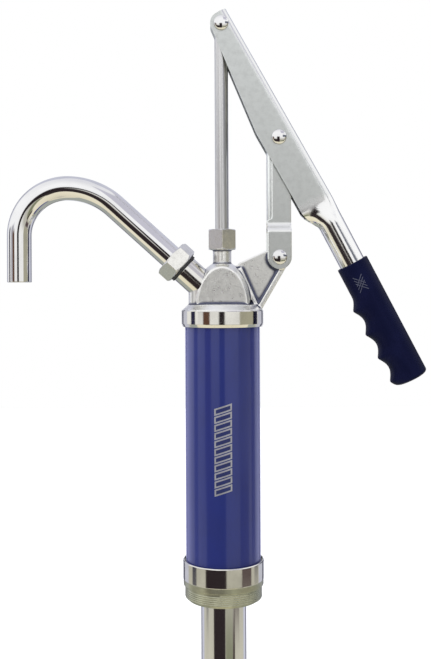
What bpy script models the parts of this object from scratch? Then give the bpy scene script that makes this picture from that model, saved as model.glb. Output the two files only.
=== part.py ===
"""Lever-action hand pump that screws into the bung of a drum, as separate solids.

Frame: +Z up. The origin is on the pump's axis, on the seat of the bung adapter, which is
the underside of its collar. The spout points to -X and the hand lever to +X.
The parts stand with the lever down, the piston up and the suction tube pushed together.
"""

import math

import bmesh
import bpy
from mathutils import Matrix, Vector

MM = 0.001
GAP = 0.3 * MM  # room left between two pieces that touch
MERGE = 0.02 * MM  # largest distance over which doubled points are joined

# Barrel, head band and bung adapter, measured from the seat
BARREL_RADIUS = 29.3 * MM
BARREL_WALL = 2.0 * MM
COLLAR_RADIUS = 31.7 * MM
COLLAR_HEIGHT = 19.5 * MM
BUNG_THREAD_RADIUS = 30.15 * MM
BUNG_THREAD_DEPTH = 11.5 * MM
ADAPTER_FLOOR = 4.0 * MM
HEAD_LOW = 201.3 * MM
HEAD_BAND_TOP = 213.9 * MM
HEAD_BAND_RADIUS = 32.0 * MM
HEAD_LEDGE = 218.4 * MM
HEAD_LEDGE_RADIUS = 26.8 * MM
HEAD_SOCKET_TOP = 213.0 * MM

# Dome, neck and stuffing box of the head
DOME_RADIUS = 22.6 * MM
DOME_RISE = 34.0 * MM
DOME_FLAT = 11.4 * MM  # half the distance between the two flat faces
NECK_RADIUS = 7.2 * MM
NECK_TOP = 261.2 * MM
BOX_RADIUS = 9.4 * MM
BOX_TOP = 271.0 * MM
BOX_BORE = 7.6 * MM
BOX_FLOOR = 262.0 * MM
CHAMBER_RADIUS = 8.8 * MM
CHAMBER_TOP = 236.0 * MM

# Gland nut
GLAND_NUT_FLATS = 21.0 * MM
GLAND_NUT_TOP = 277.3 * MM

# Outlet: its axis leaves the pump's axis and slopes up to -X
OUTLET_START = 219.2 * MM
OUTLET_SLOPE = math.radians(42.3)
SPIGOT_RADIUS = 11.25 * MM
SPIGOT_END = 39.8 * MM
NIPPLE_RADIUS = 10.4 * MM
NIPPLE_END = 47.5 * MM
OUTLET_BORE = 7.8 * MM
UNION_NUT_FLATS = 27.8 * MM
UNION_NUT_START = 42.4 * MM
UNION_NUT_END = 54.4 * MM

# Spout
SPOUT_RADIUS = 9.5 * MM
SPOUT_WALL = 1.5 * MM
SPOUT_LEG_X = -159.1 * MM
SPOUT_TOP = 310.2 * MM  # highest point of the centre line
SPOUT_FRONT_BEND = 37.4 * MM
SPOUT_MOUTH = 236.5 * MM

# Linkage: lever pin on the rod, link pin on the head's lug, and their distances
ROD_PIN_HEIGHT = 437.6 * MM
LUG_PIN_X = 44.6 * MM
LUG_PIN_HEIGHT = 255.3 * MM
LINK_LENGTH = 93.4 * MM
LEVER_SLOPE = math.radians(60.63)  # of the lever below the horizontal, at rest
PIN_RADIUS = 3.0 * MM
PIN_HOLE = PIN_RADIUS + GAP
PIN_HEAD_RADIUS = 5.8 * MM
PIN_HEAD_RISE = 2.6 * MM

# Piston rod and piston
ROD_RADIUS = 5.25 * MM
ROD_LOW = 170.0 * MM
PISTON_LOW = 186.0 * MM
PISTON_RADIUS = 24.4 * MM
CUP_RADIUS = 27.0 * MM
PORT_CIRCLE = 14.5 * MM
PORT_RADIUS = 3.5 * MM
PORT_COUNT = 6

# Lever: u runs along it from the rod pin, n runs up to its closed side
SHEET = 2.0 * MM
LEVER_HALF_WIDTH = 8.0 * MM
LEVER_WEB = 9.0 * MM
LEVER_CORNER = 5.5 * MM
LEVER_END_RADIUS = 8.6 * MM
LEVER_DEEP_AT = 88.0 * MM
LEVER_DEEP = -18.8 * MM
SWAGE_START = 157.0 * MM
SWAGE_EDGE_START = 160.0 * MM
SWAGE_END = 179.0 * MM
HANDLE_TUBE_RADIUS = 10.2 * MM
HANDLE_TUBE_AXIS = -1.8 * MM
HANDLE_DROOP = math.radians(1.83)
HANDLE_TUBE_END = 300.0 * MM

# Grip
GRIP_START = 213.0 * MM
GRIP_LENGTH = 102.5 * MM
GRIP_RADIUS = 12.7 * MM
FINGER_RISE = 4.7 * MM
FINGER_FIRST = 34.4 * MM
FINGER_PITCH = 20.7 * MM
FINGER_COUNT = 4
FINGER_HALF_WIDTH = 10.0 * MM

# Link: a narrow channel above that opens to a fork over the lug
LINK_HALF_LENGTHWISE = 9.35 * MM
LINK_NECK_HALF = 5.0 * MM
FORK_HALF = 9.6 * MM
JOGGLE_LOW = 19.5 * MM
JOGGLE_HIGH = 27.0 * MM
LINK_WEB_LOW = 33.0 * MM
LINK_TIP_RISE = 1.8 * MM  # of the link's top end over its upper pin
LUG_EYE_RADIUS = 9.1 * MM
LUG_EYE_HALF = 7.2 * MM

# Suction tubes: radius, wall, top and bottom of each, one inside the other
SUCTION_TUBES = {
    "outer_suction_tube": (17.75 * MM, 1.5 * MM, -2.8 * MM, -300.0 * MM),
    "middle_suction_tube": (14.9 * MM, 1.2 * MM, -12.0 * MM, -315.0 * MM),
    "inner_suction_tube": (12.5 * MM, 1.2 * MM, -27.0 * MM, -334.0 * MM),
}
STRAINER_TOP = -320.0 * MM
STRAINER_LOW = -352.0 * MM
STRAINER_RADIUS = 15.0 * MM

BIG_STEPS = 32  # sides of the large round pieces
SMALL_STEPS = 20
SEAL_STEPS = 16  # sides of the rings and pins

FINISHES = {
    "satin_nickel": ((0.56, 0.56, 0.54), 0.34, 1.0),
    "chrome": ((0.78, 0.78, 0.77), 0.08, 1.0),
    "zinc_plate": ((0.58, 0.60, 0.60), 0.3, 1.0),
    "blue_paint": ((0.035, 0.05, 0.22), 0.2, 0.0),
    "navy_rubber": ((0.008, 0.009, 0.03), 0.55, 0.0),
    "brass": ((0.72, 0.55, 0.28), 0.3, 1.0),
    "black_rubber": ((0.03, 0.03, 0.032), 0.6, 0.0),
    "fibre": ((0.34, 0.27, 0.19), 0.8, 0.0),
}


# ---------------------------------------------------------------- helpers


def clear_scene():
    for thing in list(bpy.data.objects):
        bpy.data.objects.remove(thing, do_unlink=True)


def add_collection(name):
    collection = bpy.data.collections.new(name)
    bpy.context.scene.collection.children.link(collection)
    return collection


def finish_material(finish):
    material = bpy.data.materials.get(finish)
    if material is None:
        colour, roughness, metallic = FINISHES[finish]
        material = bpy.data.materials.new(finish)
        material.use_nodes = True
        shader = material.node_tree.nodes["Principled BSDF"]
        shader.inputs["Base Color"].default_value = (*colour, 1.0)
        shader.inputs["Roughness"].default_value = roughness
        shader.inputs["Metallic"].default_value = metallic
    return material


def add_piece(name, mesh, finish, frame=None):
    """Put a mesh in the parts collection, in the frame of an empty where one is given."""
    piece = bpy.data.objects.new(name, mesh)
    mesh.materials.append(finish_material(finish))
    bpy.data.collections["hand_pump"].objects.link(piece)
    piece.parent = frame
    return piece


def add_cutter(name, mesh, frame=None):
    cutter = bpy.data.objects.new(name, mesh)
    bpy.data.collections["cutters"].objects.link(cutter)
    cutter.parent = frame
    cutter.hide_render = True
    cutter.display_type = "WIRE"
    return cutter


def add_frame(name, location, turn_y=0.0):
    """An empty on a joint's axis, turned about Y; the pieces that move there ride on it."""
    empty = bpy.data.objects.new(name, None)
    empty.location = location
    empty.rotation_euler = (0.0, turn_y, 0.0)
    empty.empty_display_size = 0.02
    bpy.data.collections["hand_pump"].objects.link(empty)
    return empty


def combine(piece, tool, operation):
    step = piece.modifiers.new(tool.name, "BOOLEAN")
    step.operation = operation
    step.object = tool
    step.solver = "EXACT"


def mesh_from(name, shape):
    mesh = bpy.data.meshes.new(name)
    shape.to_mesh(mesh)
    shape.free()
    return mesh


def profile_mesh(name, outline):
    """A turned piece's outline as edges: (radius, height) pairs down its outer side."""
    shape = bmesh.new()
    points = [shape.verts.new((radius, 0.0, height)) for radius, height in outline]
    ends_on_axis = outline[0][0] == 0.0 and outline[-1][0] == 0.0
    followers = points[1:] if ends_on_axis else points[1:] + points[:1]
    for point, follower in zip(points, followers):
        shape.edges.new((point, follower))
    return mesh_from(name, shape)


def turn(piece, steps):
    screw = piece.modifiers.new("Turn", "SCREW")
    screw.steps = steps
    screw.render_steps = steps
    screw.use_merge_vertices = True
    screw.merge_threshold = MERGE
    screw.use_smooth_shade = True


def turned(name, outline, finish, frame=None, steps=BIG_STEPS):
    piece = add_piece(name, profile_mesh(name, outline), finish, frame)
    turn(piece, steps)
    return piece


def turned_cutter(name, outline, frame=None, steps=BIG_STEPS):
    cutter = add_cutter(name, profile_mesh(name, outline), frame)
    turn(cutter, steps)
    return cutter


def ring(inner, outer, low, high):
    return [(outer, high), (outer, low), (inner, low), (inner, high)]


def rod(radius, low, high):
    return [(0.0, high), (radius, high), (radius, low), (0.0, low)]


def box_mesh(name, low, high):
    low, high = Vector(low), Vector(high)
    shape = bmesh.new()
    place = Matrix.Translation((low + high) / 2) @ Matrix.Diagonal((*(high - low), 1.0))
    bmesh.ops.create_cube(shape, size=1.0, matrix=place)
    return mesh_from(name, shape)


def cylinder_mesh(name, radius, start, end, sides):
    """A closed cylinder between two points, which may have any direction."""
    start, end = Vector(start), Vector(end)
    along = end - start
    place = Matrix.Translation((start + end) / 2) @ along.to_track_quat("Z", "Y").to_matrix().to_4x4()
    shape = bmesh.new()
    bmesh.ops.create_cone(
        shape,
        cap_ends=True,
        segments=sides,
        radius1=radius,
        radius2=radius,
        depth=along.length,
        matrix=place,
    )
    return mesh_from(name, shape)


def arc(centre, radius, start, end, count):
    """Points on an arc, from one angle to another, in degrees."""
    points = []
    for step in range(count + 1):
        angle = math.radians(start + (end - start) * step / count)
        points.append((centre[0] + radius * math.cos(angle), centre[1] + radius * math.sin(angle)))
    return points


def plate_mesh(name, outline, low, high, normal="Y"):
    """A flat plate: the outline's pairs are X and Z (normal Y) or Y and Z (normal X)."""
    curve = bpy.data.curves.new(name + "_outline", "CURVE")
    curve.dimensions = "2D"
    curve.fill_mode = "BOTH"
    curve.extrude = (high - low) / 2
    spline = curve.splines.new("POLY")
    spline.points.add(len(outline) - 1)
    for point, (across, up) in zip(spline.points, outline):
        point.co = (across, up, 0.0, 1.0)
    spline.use_cyclic_u = True
    guide = bpy.data.objects.new(name + "_outline", curve)
    bpy.context.scene.collection.objects.link(guide)
    mesh = closed_mesh(guide)
    upright = Matrix.Rotation(math.radians(90), 4, "X")
    middle = (low + high) / 2
    if normal == "Y":
        place = Matrix.Translation((0.0, middle, 0.0)) @ upright
    else:
        place = Matrix.Translation((middle, 0.0, 0.0)) @ Matrix.Rotation(math.radians(90), 4, "Z") @ upright
    mesh.transform(place)
    return mesh


def closed_mesh(guide):
    """The mesh of a curve object, with its loose ends joined; the curve is removed."""
    bpy.context.view_layer.update()
    seen = guide.evaluated_get(bpy.context.evaluated_depsgraph_get())
    mesh = bpy.data.meshes.new_from_object(seen)
    mesh.materials.clear()
    shape = bmesh.new()
    shape.from_mesh(mesh)
    bmesh.ops.remove_doubles(shape, verts=shape.verts, dist=MERGE)
    shape.to_mesh(mesh)
    shape.free()
    bpy.data.objects.remove(guide, do_unlink=True)
    return mesh


def loft_mesh(name, sections, closed_rings, capped):
    """A skin through sections that all have the same number of points."""
    shape = bmesh.new()
    rows = [[shape.verts.new(point) for point in section] for section in sections]
    count = len(rows[0])
    last = count if closed_rings else count - 1
    for row, after in zip(rows, rows[1:]):
        for index in range(last):
            other = (index + 1) % count
            shape.faces.new((row[index], after[index], after[other], row[other]))
    if capped:
        shape.faces.new(rows[0])
        shape.faces.new(list(reversed(rows[-1])))
    bmesh.ops.remove_doubles(shape, verts=shape.verts, dist=MERGE)
    return mesh_from(name, shape)


def smooth_step(value, low, high):
    share = min(1.0, max(0.0, (value - low) / (high - low)))
    return share * share * (3.0 - 2.0 * share)


def domed_head(radius, rise, seat, steps=4):
    """Outline of a pin's round head, from its crown down to its rim."""
    points = []
    for step in range(steps + 1):
        angle = math.pi / 2 * step / steps
        points.append((radius * math.sin(angle), seat + rise * math.cos(angle)))
    points[0] = (0.0, points[0][1])
    return points


def hex_nut(name, flats, start, end, hole, finish, frame, turn_degrees=0.0):
    """A hexagon with chamfered corners, cut to its inner outline."""
    corner = flats / math.sqrt(3)
    mesh = cylinder_mesh(name, corner, (0, 0, start), (0, 0, end), 6)
    mesh.transform(Matrix.Rotation(math.radians(turn_degrees), 4, "Z"))
    nut = add_piece(name, mesh, finish, frame)
    chamfer = corner - flats / 2
    rise = chamfer * math.tan(math.radians(30))
    edge = corner + 0.1 * MM
    limits = [
        (0.0, end + 1 * MM),
        (flats / 2 - 0.2 * MM, end + 1 * MM),
        (flats / 2 - 0.2 * MM, end),
        (edge, end - rise),
        (edge, start + rise),
        (flats / 2 - 0.2 * MM, start),
        (flats / 2 - 0.2 * MM, start - 1 * MM),
        (0.0, start - 1 * MM),
    ]
    combine(nut, turned_cutter(name + "_chamfer", limits, frame, steps=24), "INTERSECT")
    combine(nut, turned_cutter(name + "_hole", hole, frame, steps=SMALL_STEPS), "DIFFERENCE")
    return nut


# ---------------------------------------------------------------- barrel, adapter and head


def build_barrel():
    inner = BARREL_RADIUS - BARREL_WALL
    tube_low = ADAPTER_FLOOR + 2.1 * MM
    tube_high = HEAD_SOCKET_TOP - 1.6 * MM
    turned("cylinder_tube", ring(inner, BARREL_RADIUS, tube_low, tube_high), "blue_paint")
    gasket_low = HEAD_SOCKET_TOP - GAP - 1.0 * MM
    gasket = ring(25.5 * MM, 29.2 * MM, gasket_low, HEAD_SOCKET_TOP - GAP)
    turned("head_gasket", gasket, "fibre", steps=SMALL_STEPS)
    gasket_low = ADAPTER_FLOOR + GAP
    gasket = ring(27.1 * MM, 29.2 * MM, gasket_low, gasket_low + 1.5 * MM)
    turned("base_gasket", gasket, "fibre", steps=BIG_STEPS)


def build_bung_adapter():
    """Collar, male bung thread below it and the socket for the barrel."""
    rim = 0.8 * MM
    socket = BARREL_RADIUS + GAP
    suction_socket = SUCTION_TUBES["outer_suction_tube"][0] + GAP
    outline = [
        (COLLAR_RADIUS - rim, COLLAR_HEIGHT),
        (COLLAR_RADIUS, COLLAR_HEIGHT - rim),
        (COLLAR_RADIUS, 0.0),
        (BUNG_THREAD_RADIUS, 0.0),
        (BUNG_THREAD_RADIUS, 1.0 * MM - BUNG_THREAD_DEPTH),
        (BUNG_THREAD_RADIUS - 1.0 * MM, -BUNG_THREAD_DEPTH),
        (suction_socket, -BUNG_THREAD_DEPTH),
        (suction_socket, -1.2 * MM),
        (13.0 * MM, -1.2 * MM),
        (13.0 * MM, ADAPTER_FLOOR),
        (socket, ADAPTER_FLOOR),
        (socket, COLLAR_HEIGHT),
    ]
    turned("bung_adapter", outline, "satin_nickel")
    turned("suction_gasket", ring(13.5 * MM, 17.5 * MM, -2.5 * MM, -1.5 * MM), "fibre", steps=SMALL_STEPS)


def dome_outline():
    """Half outline of the head, from the top of the stuffing box down to the band's foot."""
    start = math.asin(NECK_RADIUS / DOME_RADIUS)
    outline = [(0.0, BOX_TOP), (BOX_RADIUS, BOX_TOP), (BOX_RADIUS, NECK_TOP), (NECK_RADIUS, NECK_TOP)]
    steps = 9
    for step in range(steps + 1):
        angle = start + (math.pi / 2 - start) * step / steps
        outline.append((DOME_RADIUS * math.sin(angle), HEAD_LEDGE + DOME_RISE * math.cos(angle)))
    outline += [
        (HEAD_LEDGE_RADIUS, HEAD_LEDGE),
        (HEAD_BAND_RADIUS, HEAD_BAND_TOP),
        (HEAD_BAND_RADIUS, HEAD_LOW + 2.4 * MM),
        (HEAD_BAND_RADIUS - 1.0 * MM, HEAD_LOW),
        (0.0, HEAD_LOW),
    ]
    return outline


def head_bore_outline():
    """What is hollow on the pump's axis: barrel socket, chamber, rod hole and stuffing box."""
    rod_hole = ROD_RADIUS + GAP
    return [
        (0.0, BOX_TOP + 1 * MM),
        (BOX_BORE, BOX_TOP + 1 * MM),
        (BOX_BORE, BOX_FLOOR),
        (rod_hole, BOX_FLOOR),
        (rod_hole, CHAMBER_TOP),
        (CHAMBER_RADIUS, CHAMBER_TOP),
        (CHAMBER_RADIUS, 215.2 * MM),
        (24.0 * MM, 215.2 * MM),
        (24.0 * MM, HEAD_SOCKET_TOP),
        (BARREL_RADIUS + GAP, HEAD_SOCKET_TOP),
        (BARREL_RADIUS + GAP, HEAD_LOW - 1 * MM),
        (0.0, HEAD_LOW - 1 * MM),
    ]


def lug_web_outline():
    """The lug's thin web, from inside the dome out to the eye."""
    eye = (LUG_PIN_X, LUG_PIN_HEIGHT)
    return [
        (8.0 * MM, 216.0 * MM),
        (8.0 * MM, 246.0 * MM),
        (14.0 * MM, 251.2 * MM),
        (27.0 * MM, 257.0 * MM),
        *arc(eye, LUG_EYE_RADIUS - 0.3 * MM, 120, 100, 2),
        *arc(eye, LUG_EYE_RADIUS - 0.3 * MM, 0, -30, 2),
        (30.5 * MM, 219.5 * MM),
        (27.5 * MM, 216.0 * MM),
    ]


def lug_rib(name, start, end, half_thick, half_wide):
    """A straight rib along the web's edge, between two points of the X-Z plane."""
    start, end = Vector((start[0], 0.0, start[1])), Vector((end[0], 0.0, end[1]))
    along = end - start
    place = Matrix.Translation((start + end) / 2) @ Matrix.Rotation(math.atan2(along.x, along.z), 4, "Y")
    mesh = box_mesh(name, (-half_thick, -half_wide, -along.length / 2), (half_thick, half_wide, along.length / 2))
    mesh.transform(place)
    return add_cutter(name, mesh)


def build_head(outlet_frame):
    head = turned("pump_head", dome_outline(), "satin_nickel")
    flats = [(-1, "flat_front"), (1, "flat_back")]
    for side, name in flats:
        near, far = side * DOME_FLAT, side * 40 * MM
        low = (-40 * MM, min(near, far), HEAD_LEDGE + 0.2 * MM)
        high = (40 * MM, max(near, far), 260 * MM)
        combine(head, add_cutter(name, box_mesh(name, low, high)), "DIFFERENCE")

    spigot = cylinder_mesh("spigot", SPIGOT_RADIUS, (0, 0, 4 * MM), (0, 0, SPIGOT_END), 24)
    combine(head, add_cutter("spigot", spigot, outlet_frame), "UNION")
    nipple = cylinder_mesh("nipple", NIPPLE_RADIUS, (0, 0, 5 * MM), (0, 0, NIPPLE_END), SMALL_STEPS)
    combine(head, add_cutter("nipple", nipple, outlet_frame), "UNION")
    foot = (-15.5 * MM, 0, 216 * MM)
    pillar = cylinder_mesh("pillar", 10.9 * MM, foot, (foot[0], 0, 231 * MM), 24)
    combine(head, add_cutter("pillar", pillar), "UNION")

    web = plate_mesh("lug_web", lug_web_outline(), -3.0 * MM, 3.0 * MM)
    combine(head, add_cutter("lug_web", web), "UNION")
    outer_rib = lug_rib("outer_rib", (28.6 * MM, 214.8 * MM), (48.2 * MM, 248.4 * MM), 1.9 * MM, 6.2 * MM)
    combine(head, outer_rib, "UNION")
    inner_rib = lug_rib("inner_rib", (27.2 * MM, 216.2 * MM), (13.6 * MM, 247.2 * MM), 1.6 * MM, 5.4 * MM)
    combine(head, inner_rib, "UNION")
    eye = (LUG_PIN_X, LUG_PIN_HEIGHT)
    eye_front = (eye[0], -LUG_EYE_HALF, eye[1])
    eye_back = (eye[0], LUG_EYE_HALF, eye[1])
    combine(head, add_cutter("lug_eye", cylinder_mesh("lug_eye", LUG_EYE_RADIUS, eye_front, eye_back, 24)), "UNION")

    combine(head, turned_cutter("head_bore", head_bore_outline()), "DIFFERENCE")
    bore = cylinder_mesh("outlet_bore", OUTLET_BORE, (0, 0, 0), (0, 0, NIPPLE_END + 2 * MM), SMALL_STEPS)
    combine(head, add_cutter("outlet_bore", bore, outlet_frame), "DIFFERENCE")
    hole_ends = [(eye[0], side * 2 * LUG_EYE_HALF, eye[1]) for side in (-1, 1)]
    hole = cylinder_mesh("lug_hole", PIN_HOLE, *hole_ends, SEAL_STEPS)
    combine(head, add_cutter("lug_hole", hole), "DIFFERENCE")


# ---------------------------------------------------------------- gland and outlet union


def build_gland():
    low = NECK_TOP + GAP
    nut_bore = BOX_RADIUS + GAP
    hole = [
        (0.0, GLAND_NUT_TOP + 1 * MM),
        (ROD_RADIUS + GAP, GLAND_NUT_TOP + 1 * MM),
        (ROD_RADIUS + GAP, BOX_TOP + 2.3 * MM),
        (nut_bore, BOX_TOP + 2.3 * MM),
        (nut_bore, low - 1 * MM),
        (0.0, low - 1 * MM),
    ]
    hex_nut("gland_nut", GLAND_NUT_FLATS, low, GLAND_NUT_TOP, hole, "satin_nickel", None)
    ring_inner, ring_outer = ROD_RADIUS + GAP, BOX_BORE - GAP
    ring_height = 2.3 * MM
    for index, place in enumerate(("lower", "middle", "upper")):
        ring_low = BOX_FLOOR + GAP + index * (ring_height + GAP)
        outline = ring(ring_inner, ring_outer, ring_low, ring_low + ring_height)
        turned("packing_ring_" + place, outline, "fibre", steps=SEAL_STEPS)
    follower_low = BOX_FLOOR + GAP + 3 * (ring_height + GAP)
    outline = [
        (BOX_RADIUS, BOX_TOP + 2.0 * MM),
        (BOX_RADIUS, BOX_TOP + GAP),
        (ring_outer, BOX_TOP + GAP),
        (ring_outer, follower_low),
        (ring_inner, follower_low),
        (ring_inner, BOX_TOP + 2.0 * MM),
    ]
    turned("gland_follower", outline, "brass", steps=SMALL_STEPS)


def build_union(outlet_frame):
    nut_bore = NIPPLE_RADIUS + GAP
    lip = UNION_NUT_END - 3.0 * MM
    hole = [
        (0.0, UNION_NUT_END + 1 * MM),
        (SPOUT_RADIUS + GAP, UNION_NUT_END + 1 * MM),
        (SPOUT_RADIUS + GAP, lip),
        (nut_bore, lip),
        (nut_bore, UNION_NUT_START - 1 * MM),
        (0.0, UNION_NUT_START - 1 * MM),
    ]
    hex_nut(
        "union_nut", UNION_NUT_FLATS, UNION_NUT_START, UNION_NUT_END, hole, "satin_nickel", outlet_frame, 12.0
    )
    seal = ring(nut_bore, 12.3 * MM, SPIGOT_END + GAP, UNION_NUT_START - GAP)
    turned("union_seal", seal, "black_rubber", outlet_frame, SMALL_STEPS)
    washer_low = NIPPLE_END + GAP
    washer = ring(OUTLET_BORE, NIPPLE_RADIUS - 0.2 * MM, washer_low, washer_low + 0.8 * MM)
    turned("spout_washer", washer, "fibre", outlet_frame, SEAL_STEPS)


def spout_path(outlet_place):
    """Centre line in the outlet's frame: straight run, two bends and the leg down."""
    run = Vector((-math.cos(OUTLET_SLOPE), 0.0, math.sin(OUTLET_SLOPE)))
    start = Vector((0.0, 0.0, OUTLET_START))
    crown_x = SPOUT_LEG_X + SPOUT_FRONT_BEND
    sine, cosine = math.sin(OUTLET_SLOPE), math.cos(OUTLET_SLOPE)
    back_bend = (-crown_x * sine + (OUTLET_START - SPOUT_TOP) * cosine) / (1 - cosine)
    points = [start + run * 51.3 * MM, start + run * 70 * MM]
    back_centre = (crown_x, SPOUT_TOP - back_bend)
    front_centre = (crown_x, SPOUT_TOP - SPOUT_FRONT_BEND)
    slope = math.degrees(OUTLET_SLOPE)
    bends = arc(back_centre, back_bend, 90 - slope, 90, 5)
    bends += arc(front_centre, SPOUT_FRONT_BEND, 90, 180, 8)[1:]
    points += [Vector((x, 0.0, z)) for x, z in bends]
    points.append(Vector((SPOUT_LEG_X, 0.0, SPOUT_MOUTH)))
    inverse = outlet_place.inverted()
    return [inverse @ point for point in points]


def build_spout(frame):
    place = Matrix.Translation(frame.location) @ frame.rotation_euler.to_matrix().to_4x4()
    points = spout_path(place)
    curve = bpy.data.curves.new("spout_path", "CURVE")
    curve.dimensions = "3D"
    curve.bevel_depth = SPOUT_RADIUS
    curve.bevel_resolution = 3
    spline = curve.splines.new("POLY")
    spline.points.add(len(points) - 1)
    for point, where in zip(spline.points, points):
        point.co = (*where, 1.0)
    guide = bpy.data.objects.new("spout_path", curve)
    bpy.context.scene.collection.objects.link(guide)
    spout = add_piece("spout_tube", closed_mesh(guide), "chrome", frame)
    wall = spout.modifiers.new("Wall", "SOLIDIFY")
    wall.thickness = SPOUT_WALL
    wall.offset = -1.0
    low = NIPPLE_END + 2 * GAP + 0.8 * MM
    ferrule = ring(OUTLET_BORE, NIPPLE_RADIUS, low, low + 2.2 * MM)
    turned("spout_ferrule", ferrule, "brass", frame, SEAL_STEPS)


# ---------------------------------------------------------------- rod and piston


def port_cutter(name, low, high):
    """The ring of water ports through the piston's plates, as one cutter."""
    shape = bmesh.new()
    for index in range(PORT_COUNT):
        angle = 2 * math.pi * index / PORT_COUNT
        centre = (PORT_CIRCLE * math.cos(angle), PORT_CIRCLE * math.sin(angle), (low + high) / 2)
        bmesh.ops.create_cone(
            shape,
            cap_ends=True,
            segments=8,
            radius1=PORT_RADIUS,
            radius2=PORT_RADIUS,
            depth=high - low,
            matrix=Matrix.Translation(centre),
        )
    return add_cutter(name, mesh_from(name, shape))


def build_rod(frame):
    crown = domed_head(ROD_RADIUS, ROD_RADIUS, ROD_PIN_HEIGHT)
    outline = [*crown, (ROD_RADIUS, ROD_LOW + 1.0 * MM), (ROD_RADIUS - 1.0 * MM, ROD_LOW), (0.0, ROD_LOW)]
    piston_rod = turned("piston_rod", outline, "chrome", frame, SMALL_STEPS)
    ends = [(0.0, side * 10 * MM, ROD_PIN_HEIGHT) for side in (-1, 1)]
    hole = cylinder_mesh("rod_hole", PIN_HOLE, *ends, SEAL_STEPS)
    combine(piston_rod, add_cutter("rod_hole", hole), "DIFFERENCE")


def build_piston(frame):
    bore = ROD_RADIUS + GAP
    top = PISTON_LOW + 8.0 * MM
    body = [
        (9.0 * MM, top + 6.3 * MM),
        (9.0 * MM, top),
        (PISTON_RADIUS, top),
        (PISTON_RADIUS, PISTON_LOW),
        (19.2 * MM, PISTON_LOW),
        (19.2 * MM, PISTON_LOW - 2.5 * MM),
        (bore, PISTON_LOW - 2.5 * MM),
        (bore, top + 6.3 * MM),
    ]
    piston = turned("piston_body", body, "brass", frame, 24)
    combine(piston, port_cutter("piston_ports", PISTON_LOW - 5 * MM, top + 2 * MM), "DIFFERENCE")
    cup_low = PISTON_LOW - 2.5 * MM
    cup = [
        (CUP_RADIUS, cup_low + 7.5 * MM),
        (CUP_RADIUS, cup_low),
        (19.5 * MM, cup_low),
        (19.5 * MM, cup_low + 2.2 * MM),
        (PISTON_RADIUS + GAP, cup_low + 2.2 * MM),
        (PISTON_RADIUS + GAP, cup_low + 7.5 * MM),
    ]
    turned("piston_cup", cup, "black_rubber", frame, 24)
    retainer_high = cup_low - GAP
    plate = ring(bore, 24.0 * MM, retainer_high - 3.0 * MM, retainer_high)
    retainer = turned("cup_retainer", plate, "brass", frame, 24)
    combine(retainer, port_cutter("retainer_ports", cup_low - 5 * MM, cup_low + 2 * MM), "DIFFERENCE")
    nut_high = retainer_high - 3.0 * MM - GAP
    hole = rod(bore, nut_high - 9 * MM, nut_high + 1 * MM)
    hex_nut("piston_nut", 17.0 * MM, nut_high - 7.0 * MM, nut_high, hole, "brass", frame)
    stop_low = top + 6.3 * MM + GAP
    turned("valve_stop", ring(bore, 12.0 * MM, stop_low, stop_low + 2.0 * MM), "brass", frame, SMALL_STEPS)


def build_piston_valve(frame):
    low = PISTON_LOW + 8.0 * MM + GAP
    turned("piston_valve_disc", ring(9.3 * MM, 21.0 * MM, low, low + 2.0 * MM), "black_rubber", frame, SMALL_STEPS)


def build_foot_valve(frame):
    seat_low = ADAPTER_FLOOR + GAP
    seat_high = seat_low + 4.0 * MM
    turned("foot_valve_seat", ring(11.5 * MM, 26.8 * MM, seat_low, seat_high), "brass", steps=24)
    low = seat_high + GAP
    cage_outline = [
        (18.5 * MM, low + 10.0 * MM),
        (18.5 * MM, low + 2.0 * MM),
        (23.0 * MM, low + 2.0 * MM),
        (23.0 * MM, low),
        (15.0 * MM, low),
        (15.0 * MM, low + 8.0 * MM),
        (7.0 * MM, low + 8.0 * MM),
        (7.0 * MM, low + 10.0 * MM),
    ]
    cage = turned("foot_valve_cage", cage_outline, "brass", steps=24)
    for name, turn_degrees in (("cage_window_x", 0.0), ("cage_window_y", 90.0)):
        mesh = box_mesh(name, (-22 * MM, -6 * MM, low + 3.2 * MM), (22 * MM, 6 * MM, low + 7.2 * MM))
        mesh.transform(Matrix.Rotation(math.radians(turn_degrees), 4, "Z"))
        combine(cage, add_cutter(name, mesh), "DIFFERENCE")
    disc = rod(14.5 * MM, low, low + 2.6 * MM)
    turned("foot_valve_disc", disc, "black_rubber", frame, SMALL_STEPS)


# ---------------------------------------------------------------- lever


def channel_half(low):
    """Front half of the open channel's section, from the cheek's edge to the web's middle."""
    corner_centre = (LEVER_CORNER - LEVER_HALF_WIDTH, LEVER_WEB - LEVER_CORNER)
    points = []
    cheek_steps = 4
    for step in range(cheek_steps):
        height = low + (corner_centre[1] - low) * step / cheek_steps
        points.append((-LEVER_HALF_WIDTH, height))
    points += arc(corner_centre, LEVER_CORNER, 180, 90, 4)
    points.append((0.0, LEVER_WEB))
    return points


def tube_half(axis, channel):
    """The same points rolled round the handle tube, spaced as they are along the channel."""
    runs = [0.0]
    for point, follower in zip(channel, channel[1:]):
        runs.append(runs[-1] + math.dist(point, follower))
    points = []
    for run in runs:
        angle = math.pi * run / runs[-1]
        points.append((-HANDLE_TUBE_RADIUS * math.sin(angle), axis - HANDLE_TUBE_RADIUS * math.cos(angle)))
    points[0] = (0.0, points[0][1])
    points[-1] = (0.0, points[-1][1])
    return points


def lever_edge(along):
    """Height of the cheek's free edge: round about the rod pin, then deeper to the middle."""
    if along < 0.0:
        return -math.sqrt(max(0.0, LEVER_END_RADIUS**2 - along**2))
    share = min(1.0, along / LEVER_DEEP_AT)
    return -LEVER_END_RADIUS + (LEVER_DEEP + LEVER_END_RADIUS) * share


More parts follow.
